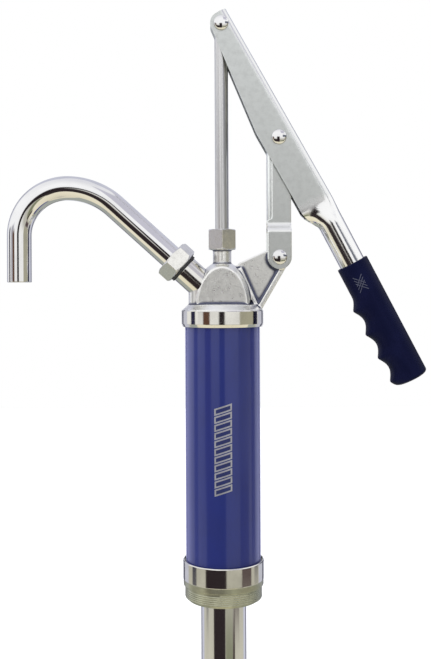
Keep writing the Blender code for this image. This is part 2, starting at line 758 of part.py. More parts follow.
def lever_section(along):
    channel = channel_half(lever_edge(along))
    axis = HANDLE_TUBE_AXIS - math.tan(HANDLE_DROOP) * max(0.0, along - SWAGE_END)
    tube = tube_half(axis, channel)
    half = []
    for index, (open_point, shut_point) in enumerate(zip(channel, tube)):
        edge_share = 1.0 - index / (len(channel) - 1)
        begin = SWAGE_START + (SWAGE_EDGE_START - SWAGE_START) * edge_share
        share = smooth_step(along, begin, SWAGE_END)
        half.append([first * (1 - share) + second * share for first, second in zip(open_point, shut_point)])
    mirrored = [(-across, height) for across, height in reversed(half[:-1])]
    return [(along, across, height) for across, height in [*half, *mirrored]]


def build_lever(frame):
    places = [-8.6, -8.0, -6.3, -3.5, 0.0, 44.0, 88.0, 122.0, 157.0]
    places += [160.5, 164.0, 167.5, 171.0, 175.0, 179.0, HANDLE_TUBE_END / MM]
    sections = [lever_section(place * MM) for place in places]
    mesh = loft_mesh("lever", sections, closed_rings=False, capped=False)
    lever = add_piece("lever", mesh, "zinc_plate", frame)
    wall = lever.modifiers.new("Wall", "SOLIDIFY")
    wall.thickness = SHEET
    wall.offset = -1.0
    for name, where in (("lever_rod_hole", (0.0, 0.0)), ("lever_link_hole", link_pin_on_lever())):
        ends = [(where[0], side * 12 * MM, where[1]) for side in (-1, 1)]
        combine(lever, add_cutter(name, cylinder_mesh(name, PIN_HOLE, *ends, SEAL_STEPS), frame), "DIFFERENCE")


def link_pin_on_lever():
    """The link pin's place on the lever, along and across it, as the parts stand at rest."""
    offset = Vector((LUG_PIN_X, 0.0, LUG_PIN_HEIGHT + LINK_LENGTH - ROD_PIN_HEIGHT))
    local = Matrix.Rotation(-LEVER_SLOPE, 3, "Y") @ offset
    return (local.x, local.z)


def facing_front(piece, place, side=-1):
    """Stand a turned pin along Y, with its local +Z to the front (-Y) or the back."""
    piece.rotation_euler = (math.radians(-90 * side), 0.0, 0.0)
    piece.location = (place[0], 0.0, place[1])


def pin_outline(seat, tail):
    head = domed_head(PIN_HEAD_RADIUS, PIN_HEAD_RISE, seat)
    return [*head, (PIN_RADIUS, seat), (PIN_RADIUS, tail), (0.0, tail)]


def cap_outline(seat, tail):
    """A domed cap over a pin's far end, with its blind hole."""
    head = domed_head(PIN_HEAD_RADIUS, PIN_HEAD_RISE, seat)
    return [*head, (PIN_HOLE, seat), (PIN_HOLE, tail + GAP), (0.0, tail + GAP)]


def build_pin(name, seat, place, frame, finish="chrome"):
    """A headed pin and the domed cap on its far end."""
    tail = seat + 1.2 * MM
    pin = turned(name, pin_outline(seat, -tail), finish, frame, SEAL_STEPS)
    facing_front(pin, place)
    cap = turned(name + "_cap", cap_outline(seat, tail), finish, frame, SEAL_STEPS)
    facing_front(cap, place, side=1)


def build_lever_pins(frame):
    seat = LEVER_HALF_WIDTH + GAP
    build_pin("rod_pin", seat, (0.0, 0.0), frame)
    inner = LEVER_HALF_WIDTH - SHEET + 0.1 * MM
    for name, side in (("pivot_rivet_front", -1), ("pivot_rivet_back", 1)):
        rivet = turned(name, pin_outline(seat, inner), "chrome", frame, SEAL_STEPS)
        facing_front(rivet, link_pin_on_lever(), side)


def finger_height(along):
    """How far the grip stands out under the fingers, at a place along it."""
    height = 0.0
    for index in range(FINGER_COUNT):
        distance = abs(along - FINGER_FIRST - index * FINGER_PITCH)
        share = 0.5 + 0.5 * math.cos(math.pi * min(1.0, distance / FINGER_HALF_WIDTH))
        height = max(height, FINGER_RISE * share**0.8)
    return height


def grip_section(along, sides=20):
    """A ring of the grip: round above, and pushed out below where the fingers go."""
    inset = 1.0 * MM if along in (0.0, GRIP_LENGTH) else 0.0
    radius = GRIP_RADIUS - inset
    points = []
    for index in range(sides):
        angle = 2 * math.pi * index / sides
        across, up = radius * math.sin(angle), -radius * math.cos(angle)
        if up < 0.0:
            up -= finger_height(along) * (-up / radius) ** 1.4
        points.append((along, across, up))
    return points


def build_grip(lever_frame):
    """The grip is built along its own axis, which droops a little from the lever's."""
    drop = HANDLE_TUBE_AXIS - math.tan(HANDLE_DROOP) * (GRIP_START - SWAGE_END)
    step_length = FINGER_PITCH / 6
    places = [0.0, 1.2 * MM, 12.0 * MM]
    places += [FINGER_FIRST - FINGER_HALF_WIDTH + step_length * index for index in range(23)]
    places = [place for place in places if place < GRIP_LENGTH - 2.0 * MM]
    places += [GRIP_LENGTH - 1.2 * MM, GRIP_LENGTH]
    mesh = loft_mesh("handle_grip", [grip_section(place) for place in places], closed_rings=True, capped=True)
    grip = add_piece("handle_grip", mesh, "navy_rubber", lever_frame)
    grip.location = (GRIP_START, 0.0, drop)
    grip.rotation_euler = (0.0, HANDLE_DROOP, 0.0)
    depth = HANDLE_TUBE_END - GRIP_START + 1.0 * MM
    bore_mesh = cylinder_mesh("grip_bore", HANDLE_TUBE_RADIUS + GAP, (-5 * MM, 0, 0), (depth, 0, 0), 24)
    bore = add_cutter("grip_bore", bore_mesh, lever_frame)
    bore.location = grip.location
    bore.rotation_euler = grip.rotation_euler
    combine(grip, bore, "DIFFERENCE")


# ---------------------------------------------------------------- link


def link_cheek(side):
    """One cheek of the link as a bent strip seen from its edge: (across, up) pairs."""
    outer = [(FORK_HALF, -12 * MM), (FORK_HALF, JOGGLE_LOW), (LINK_NECK_HALF, JOGGLE_HIGH)]
    outer.append((LINK_NECK_HALF, LINK_LENGTH + 5 * MM))
    inner = [(across - SHEET, up) for across, up in reversed(outer)]
    return [(side * across, up) for across, up in [*outer, *inner]]


def link_outline():
    """The link seen from the front: round at the lug pin, cut back above to clear the lever."""
    half = LINK_HALF_LENGTHWISE
    tip = LINK_LENGTH + LINK_TIP_RISE
    return [
        *arc((0.0, 0.0), half, 180, 360, 14),
        (half, 70.0 * MM),
        (4.0 * MM, tip),
        (-2.0 * MM, tip),
        (-half, 82.0 * MM),
    ]


def build_link(frame):
    half = LINK_HALF_LENGTHWISE
    link = add_piece("link", plate_mesh("link", link_cheek(-1), -half, half, "X"), "zinc_plate", frame)
    back = plate_mesh("link_back_cheek", link_cheek(1), -half, half, "X")
    combine(link, add_cutter("link_back_cheek", back, frame), "UNION")
    web_low = (-half, -LINK_NECK_HALF + 1.0 * MM, LINK_WEB_LOW)
    web_high = (-half + SHEET, LINK_NECK_HALF - 1.0 * MM, LINK_LENGTH)
    combine(link, add_cutter("link_web", box_mesh("link_web", web_low, web_high), frame), "UNION")
    front = plate_mesh("link_front_view", link_outline(), -15 * MM, 15 * MM)
    combine(link, add_cutter("link_front_view", front, frame), "INTERSECT")
    ends = [(0.0, side * 14 * MM, 0.0) for side in (-1, 1)]
    hole = cylinder_mesh("link_hole", PIN_HOLE, *ends, SEAL_STEPS)
    combine(link, add_cutter("link_hole", hole, frame), "DIFFERENCE")
    build_pin("lug_pin", FORK_HALF + GAP, (0.0, 0.0), frame)


# ---------------------------------------------------------------- suction tubes


def build_suction_tube(name, frame=None):
    radius, wall, high, low = SUCTION_TUBES[name]
    turned(name, ring(radius - wall, radius, low, high), "chrome", frame, BIG_STEPS)


def mouth_collar(name, holder, slider, frame=None):
    """A sleeve round the holder's mouth, with a lip that guides the tube sliding in it."""
    radius, _, _, low = SUCTION_TUBES[holder]
    inner = SUCTION_TUBES[slider][0] + GAP
    outer = radius + 2.1 * MM
    outline = [
        (outer, low + 10 * MM),
        (outer, low - 3.0 * MM),
        (inner, low - 3.0 * MM),
        (inner, low - GAP),
        (radius + GAP, low - GAP),
        (radius + GAP, low + 10 * MM),
    ]
    turned(name, outline, "satin_nickel", frame, BIG_STEPS)


def sliding_seal(name, slider, holder, frame):
    """A rubber ring near the top of a sliding tube, which rubs in the tube round it."""
    inner = SUCTION_TUBES[slider][0] + 0.2 * MM
    radius, wall, _, _ = SUCTION_TUBES[holder]
    high = SUCTION_TUBES[slider][2] - 6.0 * MM
    turned(name, ring(inner, radius - wall - 0.15 * MM, high - 3.0 * MM, high), "black_rubber", frame, SMALL_STEPS)


def build_strainer(frame):
    """A cap with slots round the inner tube's foot."""
    holder = SUCTION_TUBES["inner_suction_tube"]
    socket = holder[0] + GAP
    floor = STRAINER_LOW + 2.0 * MM
    shelf = holder[3] - GAP
    outline = [
        (STRAINER_RADIUS, STRAINER_TOP),
        (STRAINER_RADIUS, STRAINER_LOW + 1.0 * MM),
        (STRAINER_RADIUS - 1.0 * MM, STRAINER_LOW),
        (0.0, STRAINER_LOW),
    ]
    strainer = turned("foot_strainer", [(0.0, STRAINER_TOP), *outline], "satin_nickel", frame, BIG_STEPS)
    hollow = [
        (0.0, STRAINER_TOP + 1 * MM),
        (socket, STRAINER_TOP + 1 * MM),
        (socket, shelf),
        (socket - 1.2 * MM, shelf),
        (socket - 1.2 * MM, floor),
        (0.0, floor),
    ]
    combine(strainer, turned_cutter("strainer_hollow", hollow, frame, BIG_STEPS), "DIFFERENCE")
    for index in range(3):
        name = f"strainer_slot_{index}"
        low = (-20 * MM, -2.5 * MM, floor + 1.5 * MM)
        mesh = box_mesh(name, low, (20 * MM, 2.5 * MM, shelf - 2.0 * MM))
        mesh.transform(Matrix.Rotation(math.radians(60 * index), 4, "Z"))
        combine(strainer, add_cutter(name, mesh, frame), "DIFFERENCE")


# ---------------------------------------------------------------- all pieces


def main():
    clear_scene()
    add_collection("hand_pump")
    add_collection("cutters")
    outlet_turn = OUTLET_SLOPE - math.pi / 2
    outlet_frame = add_frame("outlet_axis", (0.0, 0.0, OUTLET_START), outlet_turn)
    spout_frame = add_frame("spout_swivel", (0.0, 0.0, OUTLET_START), outlet_turn)
    rod_frame = add_frame("pump_stroke", (0.0, 0.0, 0.0))
    piston_valve_frame = add_frame("piston_valve_lift", (0.0, 0.0, 0.0))
    foot_valve_frame = add_frame("foot_valve_lift", (0.0, 0.0, 0.0))
    lever_frame = add_frame("lever_swing", (0.0, 0.0, ROD_PIN_HEIGHT), LEVER_SLOPE)
    link_frame = add_frame("link_swing", (LUG_PIN_X, 0.0, LUG_PIN_HEIGHT))
    middle_frame = add_frame("middle_tube_slide", (0.0, 0.0, 0.0))
    inner_frame = add_frame("inner_tube_slide", (0.0, 0.0, 0.0))

    build_barrel()
    build_bung_adapter()
    build_head(outlet_frame)
    build_gland()
    build_union(outlet_frame)
    build_spout(spout_frame)
    build_rod(rod_frame)
    build_piston(rod_frame)
    build_piston_valve(piston_valve_frame)
    build_foot_valve(foot_valve_frame)
    build_lever(lever_frame)
    build_lever_pins(lever_frame)
    build_grip(lever_frame)
    build_link(link_frame)
    build_suction_tube("outer_suction_tube")
    mouth_collar("outer_tube_collar", "outer_suction_tube", "middle_suction_tube")
    build_suction_tube("middle_suction_tube", middle_frame)
    sliding_seal("middle_tube_seal", "middle_suction_tube", "outer_suction_tube", middle_frame)
    mouth_collar("middle_tube_collar", "middle_suction_tube", "inner_suction_tube", middle_frame)
    build_suction_tube("inner_suction_tube", inner_frame)
    sliding_seal("inner_tube_seal", "inner_suction_tube", "middle_suction_tube", inner_frame)
    build_strainer(inner_frame)


if __name__ == "__main__":
    main()
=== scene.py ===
"""Looks of a lever-action drum pump, built round its packed CAD frame.

The axes are the frame's: +Z up, spout to -X, hand lever to +X, in metres. Run it as a
script: it builds every piece with the operators below and the values in their panel.
"""

import math

import bmesh
import bpy
from bpy.props import FloatProperty, FloatVectorProperty, IntProperty, PointerProperty
from mathutils import Matrix, Vector


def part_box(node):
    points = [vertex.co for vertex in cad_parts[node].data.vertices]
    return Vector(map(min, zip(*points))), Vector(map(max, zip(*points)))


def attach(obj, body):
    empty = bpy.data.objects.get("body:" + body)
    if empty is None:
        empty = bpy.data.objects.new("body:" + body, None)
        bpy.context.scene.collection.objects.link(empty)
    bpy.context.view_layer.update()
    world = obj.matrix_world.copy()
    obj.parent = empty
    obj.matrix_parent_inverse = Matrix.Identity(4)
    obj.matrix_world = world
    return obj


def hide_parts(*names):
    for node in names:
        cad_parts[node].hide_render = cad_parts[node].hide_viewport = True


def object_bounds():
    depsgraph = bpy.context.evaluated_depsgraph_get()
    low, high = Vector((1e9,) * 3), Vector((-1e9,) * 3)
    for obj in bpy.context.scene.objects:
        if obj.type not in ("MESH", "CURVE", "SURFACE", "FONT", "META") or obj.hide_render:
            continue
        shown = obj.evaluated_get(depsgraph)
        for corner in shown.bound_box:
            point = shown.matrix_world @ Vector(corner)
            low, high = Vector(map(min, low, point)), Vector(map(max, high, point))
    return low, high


bl_info = {
    "name": "Drum pump looks",
    "version": (1, 0, 0),
    "blender": (4, 5, 0),
    "location": "View3D > Sidebar > Drum pump",
    "description": "Builds the visible pieces, finishes and studio of a hand pump",
    "category": "Object",
}

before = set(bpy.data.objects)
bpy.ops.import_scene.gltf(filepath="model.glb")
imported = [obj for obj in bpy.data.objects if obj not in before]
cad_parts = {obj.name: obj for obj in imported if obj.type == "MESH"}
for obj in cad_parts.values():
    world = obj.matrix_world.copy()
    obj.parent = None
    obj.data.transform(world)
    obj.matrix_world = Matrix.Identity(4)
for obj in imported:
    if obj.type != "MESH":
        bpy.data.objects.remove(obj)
CAD_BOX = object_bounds()

MM = 0.001

# ---------------------------------------------------------------- places from the frame


def radius_of(node):
    """Radius of a round node that stands on the pump's axis."""
    low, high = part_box(node)
    return (high.y - low.y) / 2


def middle_of(node):
    low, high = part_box(node)
    return (low + high) / 2


BARREL_LOW, BARREL_HIGH = (corner.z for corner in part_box("cylinder_tube"))
HEAD_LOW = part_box("pump_head")[0].z
ROD_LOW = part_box("piston_rod")[0].z
ROD_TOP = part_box("piston_rod")[1].z
ROD_RADIUS = radius_of("piston_rod")
ROD_PIN_HEIGHT = ROD_TOP - ROD_RADIUS
LUG_PIN = middle_of("lug_pin")
RIVET = middle_of("pivot_rivet_front")
LINK_LENGTH = RIVET.z - LUG_PIN.z

# Outlet: its axis leaves the pump's axis and slopes up to -X
OUTLET_START = 219.2 * MM
OUTLET_SLOPE = math.radians(42.3)
OUTLET_TURN = Matrix.Rotation(OUTLET_SLOPE - math.pi / 2, 4, "Y")
OUTLET_FRAME = Matrix.Translation((0.0, 0.0, OUTLET_START)) @ OUTLET_TURN
LEVER_SLOPE = math.radians(60.63)  # of the lever below the horizontal, at rest
LEVER_FRAME = Matrix.Translation((0.0, 0.0, ROD_PIN_HEIGHT)) @ Matrix.Rotation(LEVER_SLOPE, 4, "Y")
LINK_FRAME = Matrix.Translation((LUG_PIN.x, 0.0, LUG_PIN.z))

MERGE = 0.002 * MM
SUPPORT = 0.35 * MM  # distance of the loop that keeps a flat run flat beside a round corner
CORNER_STEPS = 4
FIT = 0.3 * MM  # gap between round parts that go into each other
PIN_HOLE = 3.3 * MM
RIM = 0.35 * MM  # rounding of a pressed sheet's edges
FINE = 160  # sides of the widest turned pieces


# ---------------------------------------------------------------- sizes and colours


def length(name, description, default):
    return FloatProperty(
        name=name, description=description, default=default, min=0.0, unit="LENGTH", precision=5
    )


def angle(name, description, degrees):
    return FloatProperty(
        name=name, description=description, default=math.radians(degrees), unit="ROTATION"
    )


def count(name, description, default):
    return IntProperty(name=name, description=description, default=default, min=1)


def colour(name, description, default):
    return FloatVectorProperty(
        name=name, description=description, default=default, size=3, min=0.0, max=1.0, subtype="COLOR"
    )


class BarrelSizes(bpy.types.PropertyGroup):
    """Painted barrel, its decal and the bung adapter under it"""

    wall: length("Barrel wall", "Thickness of the barrel's wall", 2.0 * MM)
    collar_height: length("Collar height", "Height of the adapter's collar over its seat", 19.5 * MM)
    polished_foot: length("Polished foot", "Height where the collar's polished band ends", 4.8 * MM)
    thread_pitch: length("Thread pitch", "Rise of the bung thread in one turn", 1.5 * MM)
    thread_ridge: length("Thread ridge", "Radius of the bung thread's round ridge", 1.2 * MM)
    decal_count: count("Decal bars", "How many slanted bars the decal has", 11)
    decal_width: length("Decal width", "Width of a bar round the barrel", 13.5 * MM)
    decal_bar: length("Bar height", "Height of one bar of the decal", 5.3 * MM)
    decal_pitch: length("Bar pitch", "Distance from one bar to the next", 6.1 * MM)
    decal_outline: length("Bar outline", "Width of the bright line round a bar", 1.2 * MM)
    decal_middle: length("Decal middle", "Height of the decal's middle over the seat", 109.0 * MM)


class HeadSizes(bpy.types.PropertyGroup):
    """Cast head with its band, dome, outlet and lug"""

    band_top: length("Band top", "Height of the polished band's upper edge", 213.9 * MM)
    ledge: length("Ledge", "Height of the flat ledge round the dome", 218.4 * MM)
    ledge_radius: length("Ledge radius", "Radius of the ledge's flat part", 26.8 * MM)
    dome_radius: length("Dome radius", "Radius of the dome at the ledge", 22.6 * MM)
    dome_rise: length("Dome rise", "Height of the dome's full ellipse over the ledge", 34.0 * MM)
    dome_flat: length("Dome flat", "Distance of the dome's flat faces from its middle", 11.4 * MM)
    neck_radius: length("Neck radius", "Radius of the neck under the gland nut", 7.2 * MM)
    spigot_radius: length("Spigot radius", "Radius of the outlet spigot", 11.25 * MM)
    web_half: length("Lug web", "Half thickness of the lug's web", 3.0 * MM)
    eye_radius: length("Lug eye", "Radius of the lug's eye", 9.1 * MM)
    eye_half: length("Eye half width", "Half width of the lug's eye", 7.2 * MM)
    grain: length("Casting voxel", "Size of the cells that melt the casting together", 0.5 * MM)


class NutSizes(bpy.types.PropertyGroup):
    """Gland nut and union nut"""

    gland_flats: length("Gland nut", "Gland nut across its flats", 21.0 * MM)
    union_flats: length("Union nut", "Union nut across its flats", 27.8 * MM)
    union_turn: angle("Union nut turn", "Where the union nut's corners stand", 12.0)
    corner: length("Nut corner", "Radius of a nut's worn corners", 0.5 * MM)


class SpoutSizes(bpy.types.PropertyGroup):
    """Bent discharge spout"""

    radius: length("Spout radius", "Outside radius of the spout's tube", 9.5 * MM)
    wall: length("Spout wall", "Thickness of the spout's tube", 1.5 * MM)
    front_bend: length("Front bend", "Radius of the bend that leads down", 37.4 * MM)
    crown: length("Crown", "Height of the centre line's highest point", 310.2 * MM)


class LeverSizes(bpy.types.PropertyGroup):
    """Pressed lever, its grip, the link and their pins"""

    sheet: length("Sheet", "Thickness of the lever's and the link's steel", 2.0 * MM)
    half_width: length("Half width", "Half width of the lever's channel", 8.0 * MM)
    web: length("Web height", "Height of the closed side over the rod pin", 9.0 * MM)
    corner: length("Corner", "Outside radius of the channel's bends", 5.5 * MM)
    end_radius: length("End radius", "Radius of the cheeks about the rod pin", 8.6 * MM)
    deep_at: length("Deep at", "Where the cheeks reach their full depth", 88.0 * MM)
    depth: length("Depth", "Depth of the cheeks under the rod pin", 18.8 * MM)
    swage_start: length("Swage start", "Where the channel starts to close to a tube", 157.0 * MM)
    swage_end: length("Swage end", "Where the tube is round", 179.0 * MM)
    tube_radius: length("Handle tube", "Radius of the handle's tube", 10.2 * MM)
    grip_radius: length("Grip radius", "Radius of the grip over the handle tube", 12.7 * MM)
    grip_length: length("Grip length", "Length of the grip", 102.5 * MM)
    finger_rise: length("Finger ridge", "How far a ridge between two fingers stands out", 4.7 * MM)
    finger_pitch: length("Finger pitch", "Distance between two ridges", 20.7 * MM)
    finger_count: count("Finger ridges", "How many ridges the grip has", 4)
    pin_radius: length("Pin head", "Radius of the domed pin heads", 5.8 * MM)
    pin_rise: length("Pin rise", "Height of the domed pin heads", 2.6 * MM)


class TubeSizes(bpy.types.PropertyGroup):
    """Telescoping suction tubes and the strainer"""

    outer_wall: length("Outer wall", "Thickness of the outer tube's wall", 1.5 * MM)
    inner_wall: length("Inner wall", "Thickness of the two inner tubes' walls", 1.2 * MM)
    slot_count: count("Strainer slots", "How many slots the strainer has", 6)
    slot_width: length("Slot width", "Width of a strainer slot", 5.0 * MM)


class FinishColours(bpy.types.PropertyGroup):
    """Colours of the finishes and the studio"""

    paint: colour("Barrel paint", "Blue lacquer of the barrel", (0.012, 0.022, 0.135))
    grip: colour("Grip rubber", "Navy rubber of the grip", (0.0028, 0.0035, 0.016))
    chrome: colour("Chrome", "Bright plating of the tubes and the rod", (0.86, 0.86, 0.87))
    zinc: colour("Zinc plate", "Plating of the lever and the link", (0.70, 0.725, 0.72))
    nickel: colour("Cast nickel", "Satin plating of the casting", (1.0, 1.0, 0.98))
    polished: colour("Polished nickel", "Polished band, collar and nuts", (0.82, 0.81, 0.78))
    brass: colour("Brass", "Brass of the inner fittings", (0.70, 0.52, 0.25))
    seal: colour("Seal rubber", "Black rubber of the seals", (0.018, 0.018, 0.02))
    fibre: colour("Fibre", "Brown fibre of the gaskets", (0.26, 0.17, 0.09))
    backdrop: colour("Backdrop", "Pale studio floor and backdrop", (0.9, 0.9, 0.9))


# ---------------------------------------------------------------- outlines and skins


def rounded(corners, closed=True):
    """An outline whose corners, given as (across, up, corner radius), are rounded."""
    points = []
    for index, (across, up, radius) in enumerate(corners):
        here = Vector((across, up))
        if radius == 0.0:
            points.append(here)
            continue
        before = Vector(corners[index - 1][:2]) - here
        after = Vector(corners[(index + 1) % len(corners)][:2]) - here
        reach = radius / math.tan(before.angle(after) / 2)
        reach = min(reach, 0.45 * before.length, 0.45 * after.length)
        before_support = min(SUPPORT, 0.3 * (before.length - 2 * reach))
        after_support = min(SUPPORT, 0.3 * (after.length - 2 * reach))
        first = here + before.normalized() * reach
        last = here + after.normalized() * reach
        points.append(first + before.normalized() * before_support)
        for step in range(CORNER_STEPS + 1):
            share = step / CORNER_STEPS
            points.append(first * (1 - share) ** 2 + here * 2 * share * (1 - share) + last * share**2)
        points.append(last + after.normalized() * after_support)
    if not closed:
        return points
    return points + points[:1]


def bridge(shape, rows):
    """Faces between rings of points that follow each other."""
    for row, after in zip(rows, rows[1:]):
        for index, corner in enumerate(row):
            other = (index + 1) % len(row)
            shape.faces.new((corner, row[other], after[other], after[index]))


def close_ends(shape, rows):
    """Flat faces over the first and the last of the rings."""
    for row in (rows[0], rows[-1]):
        ends = set(row)
        rim = [edge for edge in shape.edges if set(edge.verts) <= ends]
        bmesh.ops.triangle_fill(shape, edges=rim)


def skin(name, rings, sharp=35.0):
    """A closed skin through rings of points; ends that meet or shrink to a point are joined."""
    shape = bmesh.new()
    bridge(shape, [[shape.verts.new(point) for point in ring] for ring in rings])
    return closed_shape(name, shape, sharp)


def closed_shape(name, shape, sharp=35.0):
    """A bmesh as a mesh, with doubles joined, normals out and smooth shading."""
    bmesh.ops.remove_doubles(shape, verts=shape.verts, dist=MERGE)
    bmesh.ops.dissolve_degenerate(shape, edges=shape.edges, dist=MERGE)
    bmesh.ops.recalc_face_normals(shape, faces=shape.faces)
    mesh = bpy.data.meshes.new(name)
    shape.to_mesh(mesh)
    shape.free()
    smooth(mesh, sharp)
    return mesh


def smooth(mesh, sharp):
    mesh.shade_smooth()
    mesh.set_sharp_from_angle(angle=math.radians(sharp))


def lathe(name, outline, steps=128, sharp=35.0):
    """A turned piece from (radius, height) points; it is closed if its ends meet or lie on the axis."""
    rings = []
    for radius, height in outline:
        ring = []
        for step in range(steps):
            turn = 2 * math.pi * step / steps
            ring.append((radius * math.cos(turn), radius * math.sin(turn), height))
        rings.append(ring)
    return skin(name, rings, sharp)


def sleeve(inner, outer, low, high, corner):
    """Rounded outline of a plain round sleeve."""
    corners = ((outer, high), (outer, low), (inner, low), (inner, high))
    return rounded([(*point, corner) for point in corners])


def box_mesh(name, low, high):
    """A closed box between its lowest and highest corners."""
    low, high = Vector(low), Vector(high)
    shape = bmesh.new()
    place = Matrix.Translation((low + high) / 2) @ Matrix.Diagonal((*(high - low), 1.0))
    bmesh.ops.create_cube(shape, size=1.0, matrix=place)
    return closed_shape(name, shape)


def cylinder_mesh(name, radius, start, end):
    """A closed cylinder between two points of its axis."""
    start, end = Vector(start), Vector(end)
    along = end - start
    turn = along.to_track_quat("Z", "Y").to_matrix().to_4x4()
    half = along.length / 2
    mesh = lathe(name, [(0.0, half), (radius, half), (radius, -half), (0.0, -half)], 64)
    mesh.transform(Matrix.Translation((start + end) / 2) @ turn)
    return mesh


def plate_mesh(name, outline, half_thick):
    """A flat plate in the X-Z plane, from its outline's (across, up) points."""
    sides = []
    for across_y in (-half_thick, half_thick):
        sides.append([(across, across_y, up) for across, up in outline])
    shape = bmesh.new()
    rows = [[shape.verts.new(point) for point in side] for side in sides]
    bridge(shape, rows)
    close_ends(shape, rows)
    return closed_shape(name, shape)


def joined(name, meshes):
    """Several closed meshes in one; the meshes themselves are removed."""
    shape = bmesh.new()
    for mesh in meshes:
        shape.from_mesh(mesh)
        bpy.data.meshes.remove(mesh)
    whole = bpy.data.meshes.new(name)
    shape.to_mesh(whole)
    shape.free()
    return whole


def arc(centre, radius, start, end, steps):
    """Points on an arc, from one angle to another, in degrees."""
    points = []
    for step in range(steps + 1):
        turn = math.radians(start + (end - start) * step / steps)
        points.append((centre[0] + radius * math.cos(turn), centre[1] + radius * math.sin(turn)))
    return points


def smooth_step(value, low, high):
    """0 below low, 1 above high, and eased between them."""
    share = min(1.0, max(0.0, (value - low) / (high - low)))
    return share * share * (3.0 - 2.0 * share)


# ---------------------------------------------------------------- pieces


def new_object(name, mesh):
    thing = bpy.data.objects.new(name, mesh)
    bpy.context.scene.collection.objects.link(thing)
    return thing


def settle(thing):
    """Gives the object the mesh that its modifiers make, and removes them."""
    graph = bpy.context.evaluated_depsgraph_get()
    mesh = bpy.data.meshes.new_from_object(thing.evaluated_get(graph))
    thing.modifiers.clear()
    thing.data = mesh
    return thing


def add_piece(name, mesh, finish, body, nodes=(), place=None):
    """Shows a mesh as a piece of the pump that rides on a body and stands for CAD nodes."""
    if place is not None:
        mesh.transform(place)
    piece = new_object(name, mesh)
    dress(piece, finish, body, nodes)
    return piece


def dress(piece, finish, body, nodes=()):
    """Gives a piece its finish and its body, and hides the CAD nodes it stands for."""
    piece.data.materials.clear()
    piece.data.materials.append(finish)
    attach(piece, body)
    if nodes:
        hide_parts(*nodes)


def cut(thing, cutter_mesh, solver="MANIFOLD"):
    """Cuts a closed mesh out of an object."""
    cutter = new_object(thing.name + "_cutter", cutter_mesh)
    step = thing.modifiers.new("Cut", "BOOLEAN")
    step.operation = "DIFFERENCE"
    step.solver = solver
    step.object = cutter
    settle(thing)
    bpy.data.objects.remove(cutter)
    return thing


def soften_rims(thing, width, limit_degrees=50.0):
    """Rounds an object's sharp rims."""
    bevel = thing.modifiers.new("Rims", "BEVEL")
    bevel.width = width
    bevel.segments = 3
    bevel.limit_method = "ANGLE"
    bevel.angle_limit = math.radians(limit_degrees)
    bevel.harden_normals = True
    return settle(thing)


def pressed(name, shape, sheet, even=False):
    """A bmesh surface as an object of steel sheet with rounded rims."""
    bmesh.ops.remove_doubles(shape, verts=shape.verts, dist=MERGE)
    mesh = bpy.data.meshes.new(name)
    shape.to_mesh(mesh)
    shape.free()
    thing = new_object(name, mesh)
    wall = thing.modifiers.new("Wall", "SOLIDIFY")
    wall.thickness = sheet
    wall.offset = -1.0
    wall.use_even_offset = even
    settle(thing)
    smooth(thing.data, 40.0)
    return soften_rims(thing, RIM, 60.0)


def store_polish_and_highlight(mesh, share_at):
    """Keeps how polished each point is, from 0 to 1, as an attribute; the zinc finish also lightens
    these points as a painted highlight.
    """
    polish_and_highlight = mesh.attributes.new("polish_and_highlight", "FLOAT", "POINT")
    for point, share in zip(mesh.vertices, polish_and_highlight.data):
        share.value = share_at(point.co)


# ---------------------------------------------------------------- geometry node trees


def start_tree(name, sockets):
    """A geometry node tree with named inputs, and its nodes' input and output."""
    tree = bpy.data.node_groups.new(name, "GeometryNodeTree")
    tree.interface.new_socket("Geometry", in_out="OUTPUT", socket_type="NodeSocketGeometry")
    for socket, kind in sockets.items():
        tree.interface.new_socket(socket, in_out="INPUT", socket_type="NodeSocket" + kind)
    return tree, tree.nodes.new("NodeGroupInput"), tree.nodes.new("NodeGroupOutput")


def add_node(tree, kind, fed=(), **settings):
    """A node; fed gives its sockets, by name or number, an output or a constant each."""
    node = tree.nodes.new(kind)
    for name, value in settings.items():
        setattr(node, name, value)
    for socket, value in dict(fed).items():
        if isinstance(value, bpy.types.NodeSocket):
            tree.links.new(value, node.inputs[socket])
        else:
            node.inputs[socket].default_value = value
    return node


def tree_math(tree, operation, *values):
    """A Math node on one or two outputs or numbers; returns its output."""
    return add_node(tree, "ShaderNodeMath", enumerate(values), operation=operation).outputs[0]


def upward(tree, height):
    """A vector that points up by an output's value."""
    return add_node(tree, "ShaderNodeCombineXYZ", {"Z": height}).outputs["Vector"]


def end_tree(tree, group_input, group_output, geometry):
    """Realize Instances and Set Material, which every tree ends with."""
    real = add_node(tree, "GeometryNodeRealizeInstances", {"Geometry": geometry})
    material = group_input.outputs["Finish"]
    dressed = add_node(
        tree, "GeometryNodeSetMaterial", {"Geometry": real.outputs["Geometry"], "Material": material}
    )
    tree.links.new(dressed.outputs["Geometry"], group_output.inputs["Geometry"])


def thread_tree():
    """A round ridge that winds up the pump's axis."""
    sockets = dict.fromkeys(("Radius", "Ridge", "Pitch", "Turns", "Bottom"), "Float")
    tree, group_input, result = start_tree("winding_ridge", {**sockets, "Finish": "Material"})
    given = group_input.outputs
    path = {
        "Resolution": 72,
        "Rotations": given["Turns"],
        "Start Radius": given["Radius"],
        "End Radius": given["Radius"],
        "Height": tree_math(tree, "MULTIPLY", given["Turns"], given["Pitch"]),
    }
    spiral = add_node(tree, "GeometryNodeCurveSpiral", path)
    profile = add_node(
        tree, "GeometryNodeCurvePrimitiveCircle", {"Resolution": 8, "Radius": given["Ridge"]}
    )
    sweep = add_node(
        tree,
        "GeometryNodeCurveToMesh",
        {"Curve": spiral.outputs["Curve"], "Profile Curve": profile.outputs["Curve"], "Fill Caps": True},
    )
    move = add_node(
        tree,
        "GeometryNodeTransform",
        {"Geometry": sweep.outputs["Mesh"], "Translation": upward(tree, given["Bottom"])},
    )
    end_tree(tree, group_input, result, move.outputs["Geometry"])
    return tree


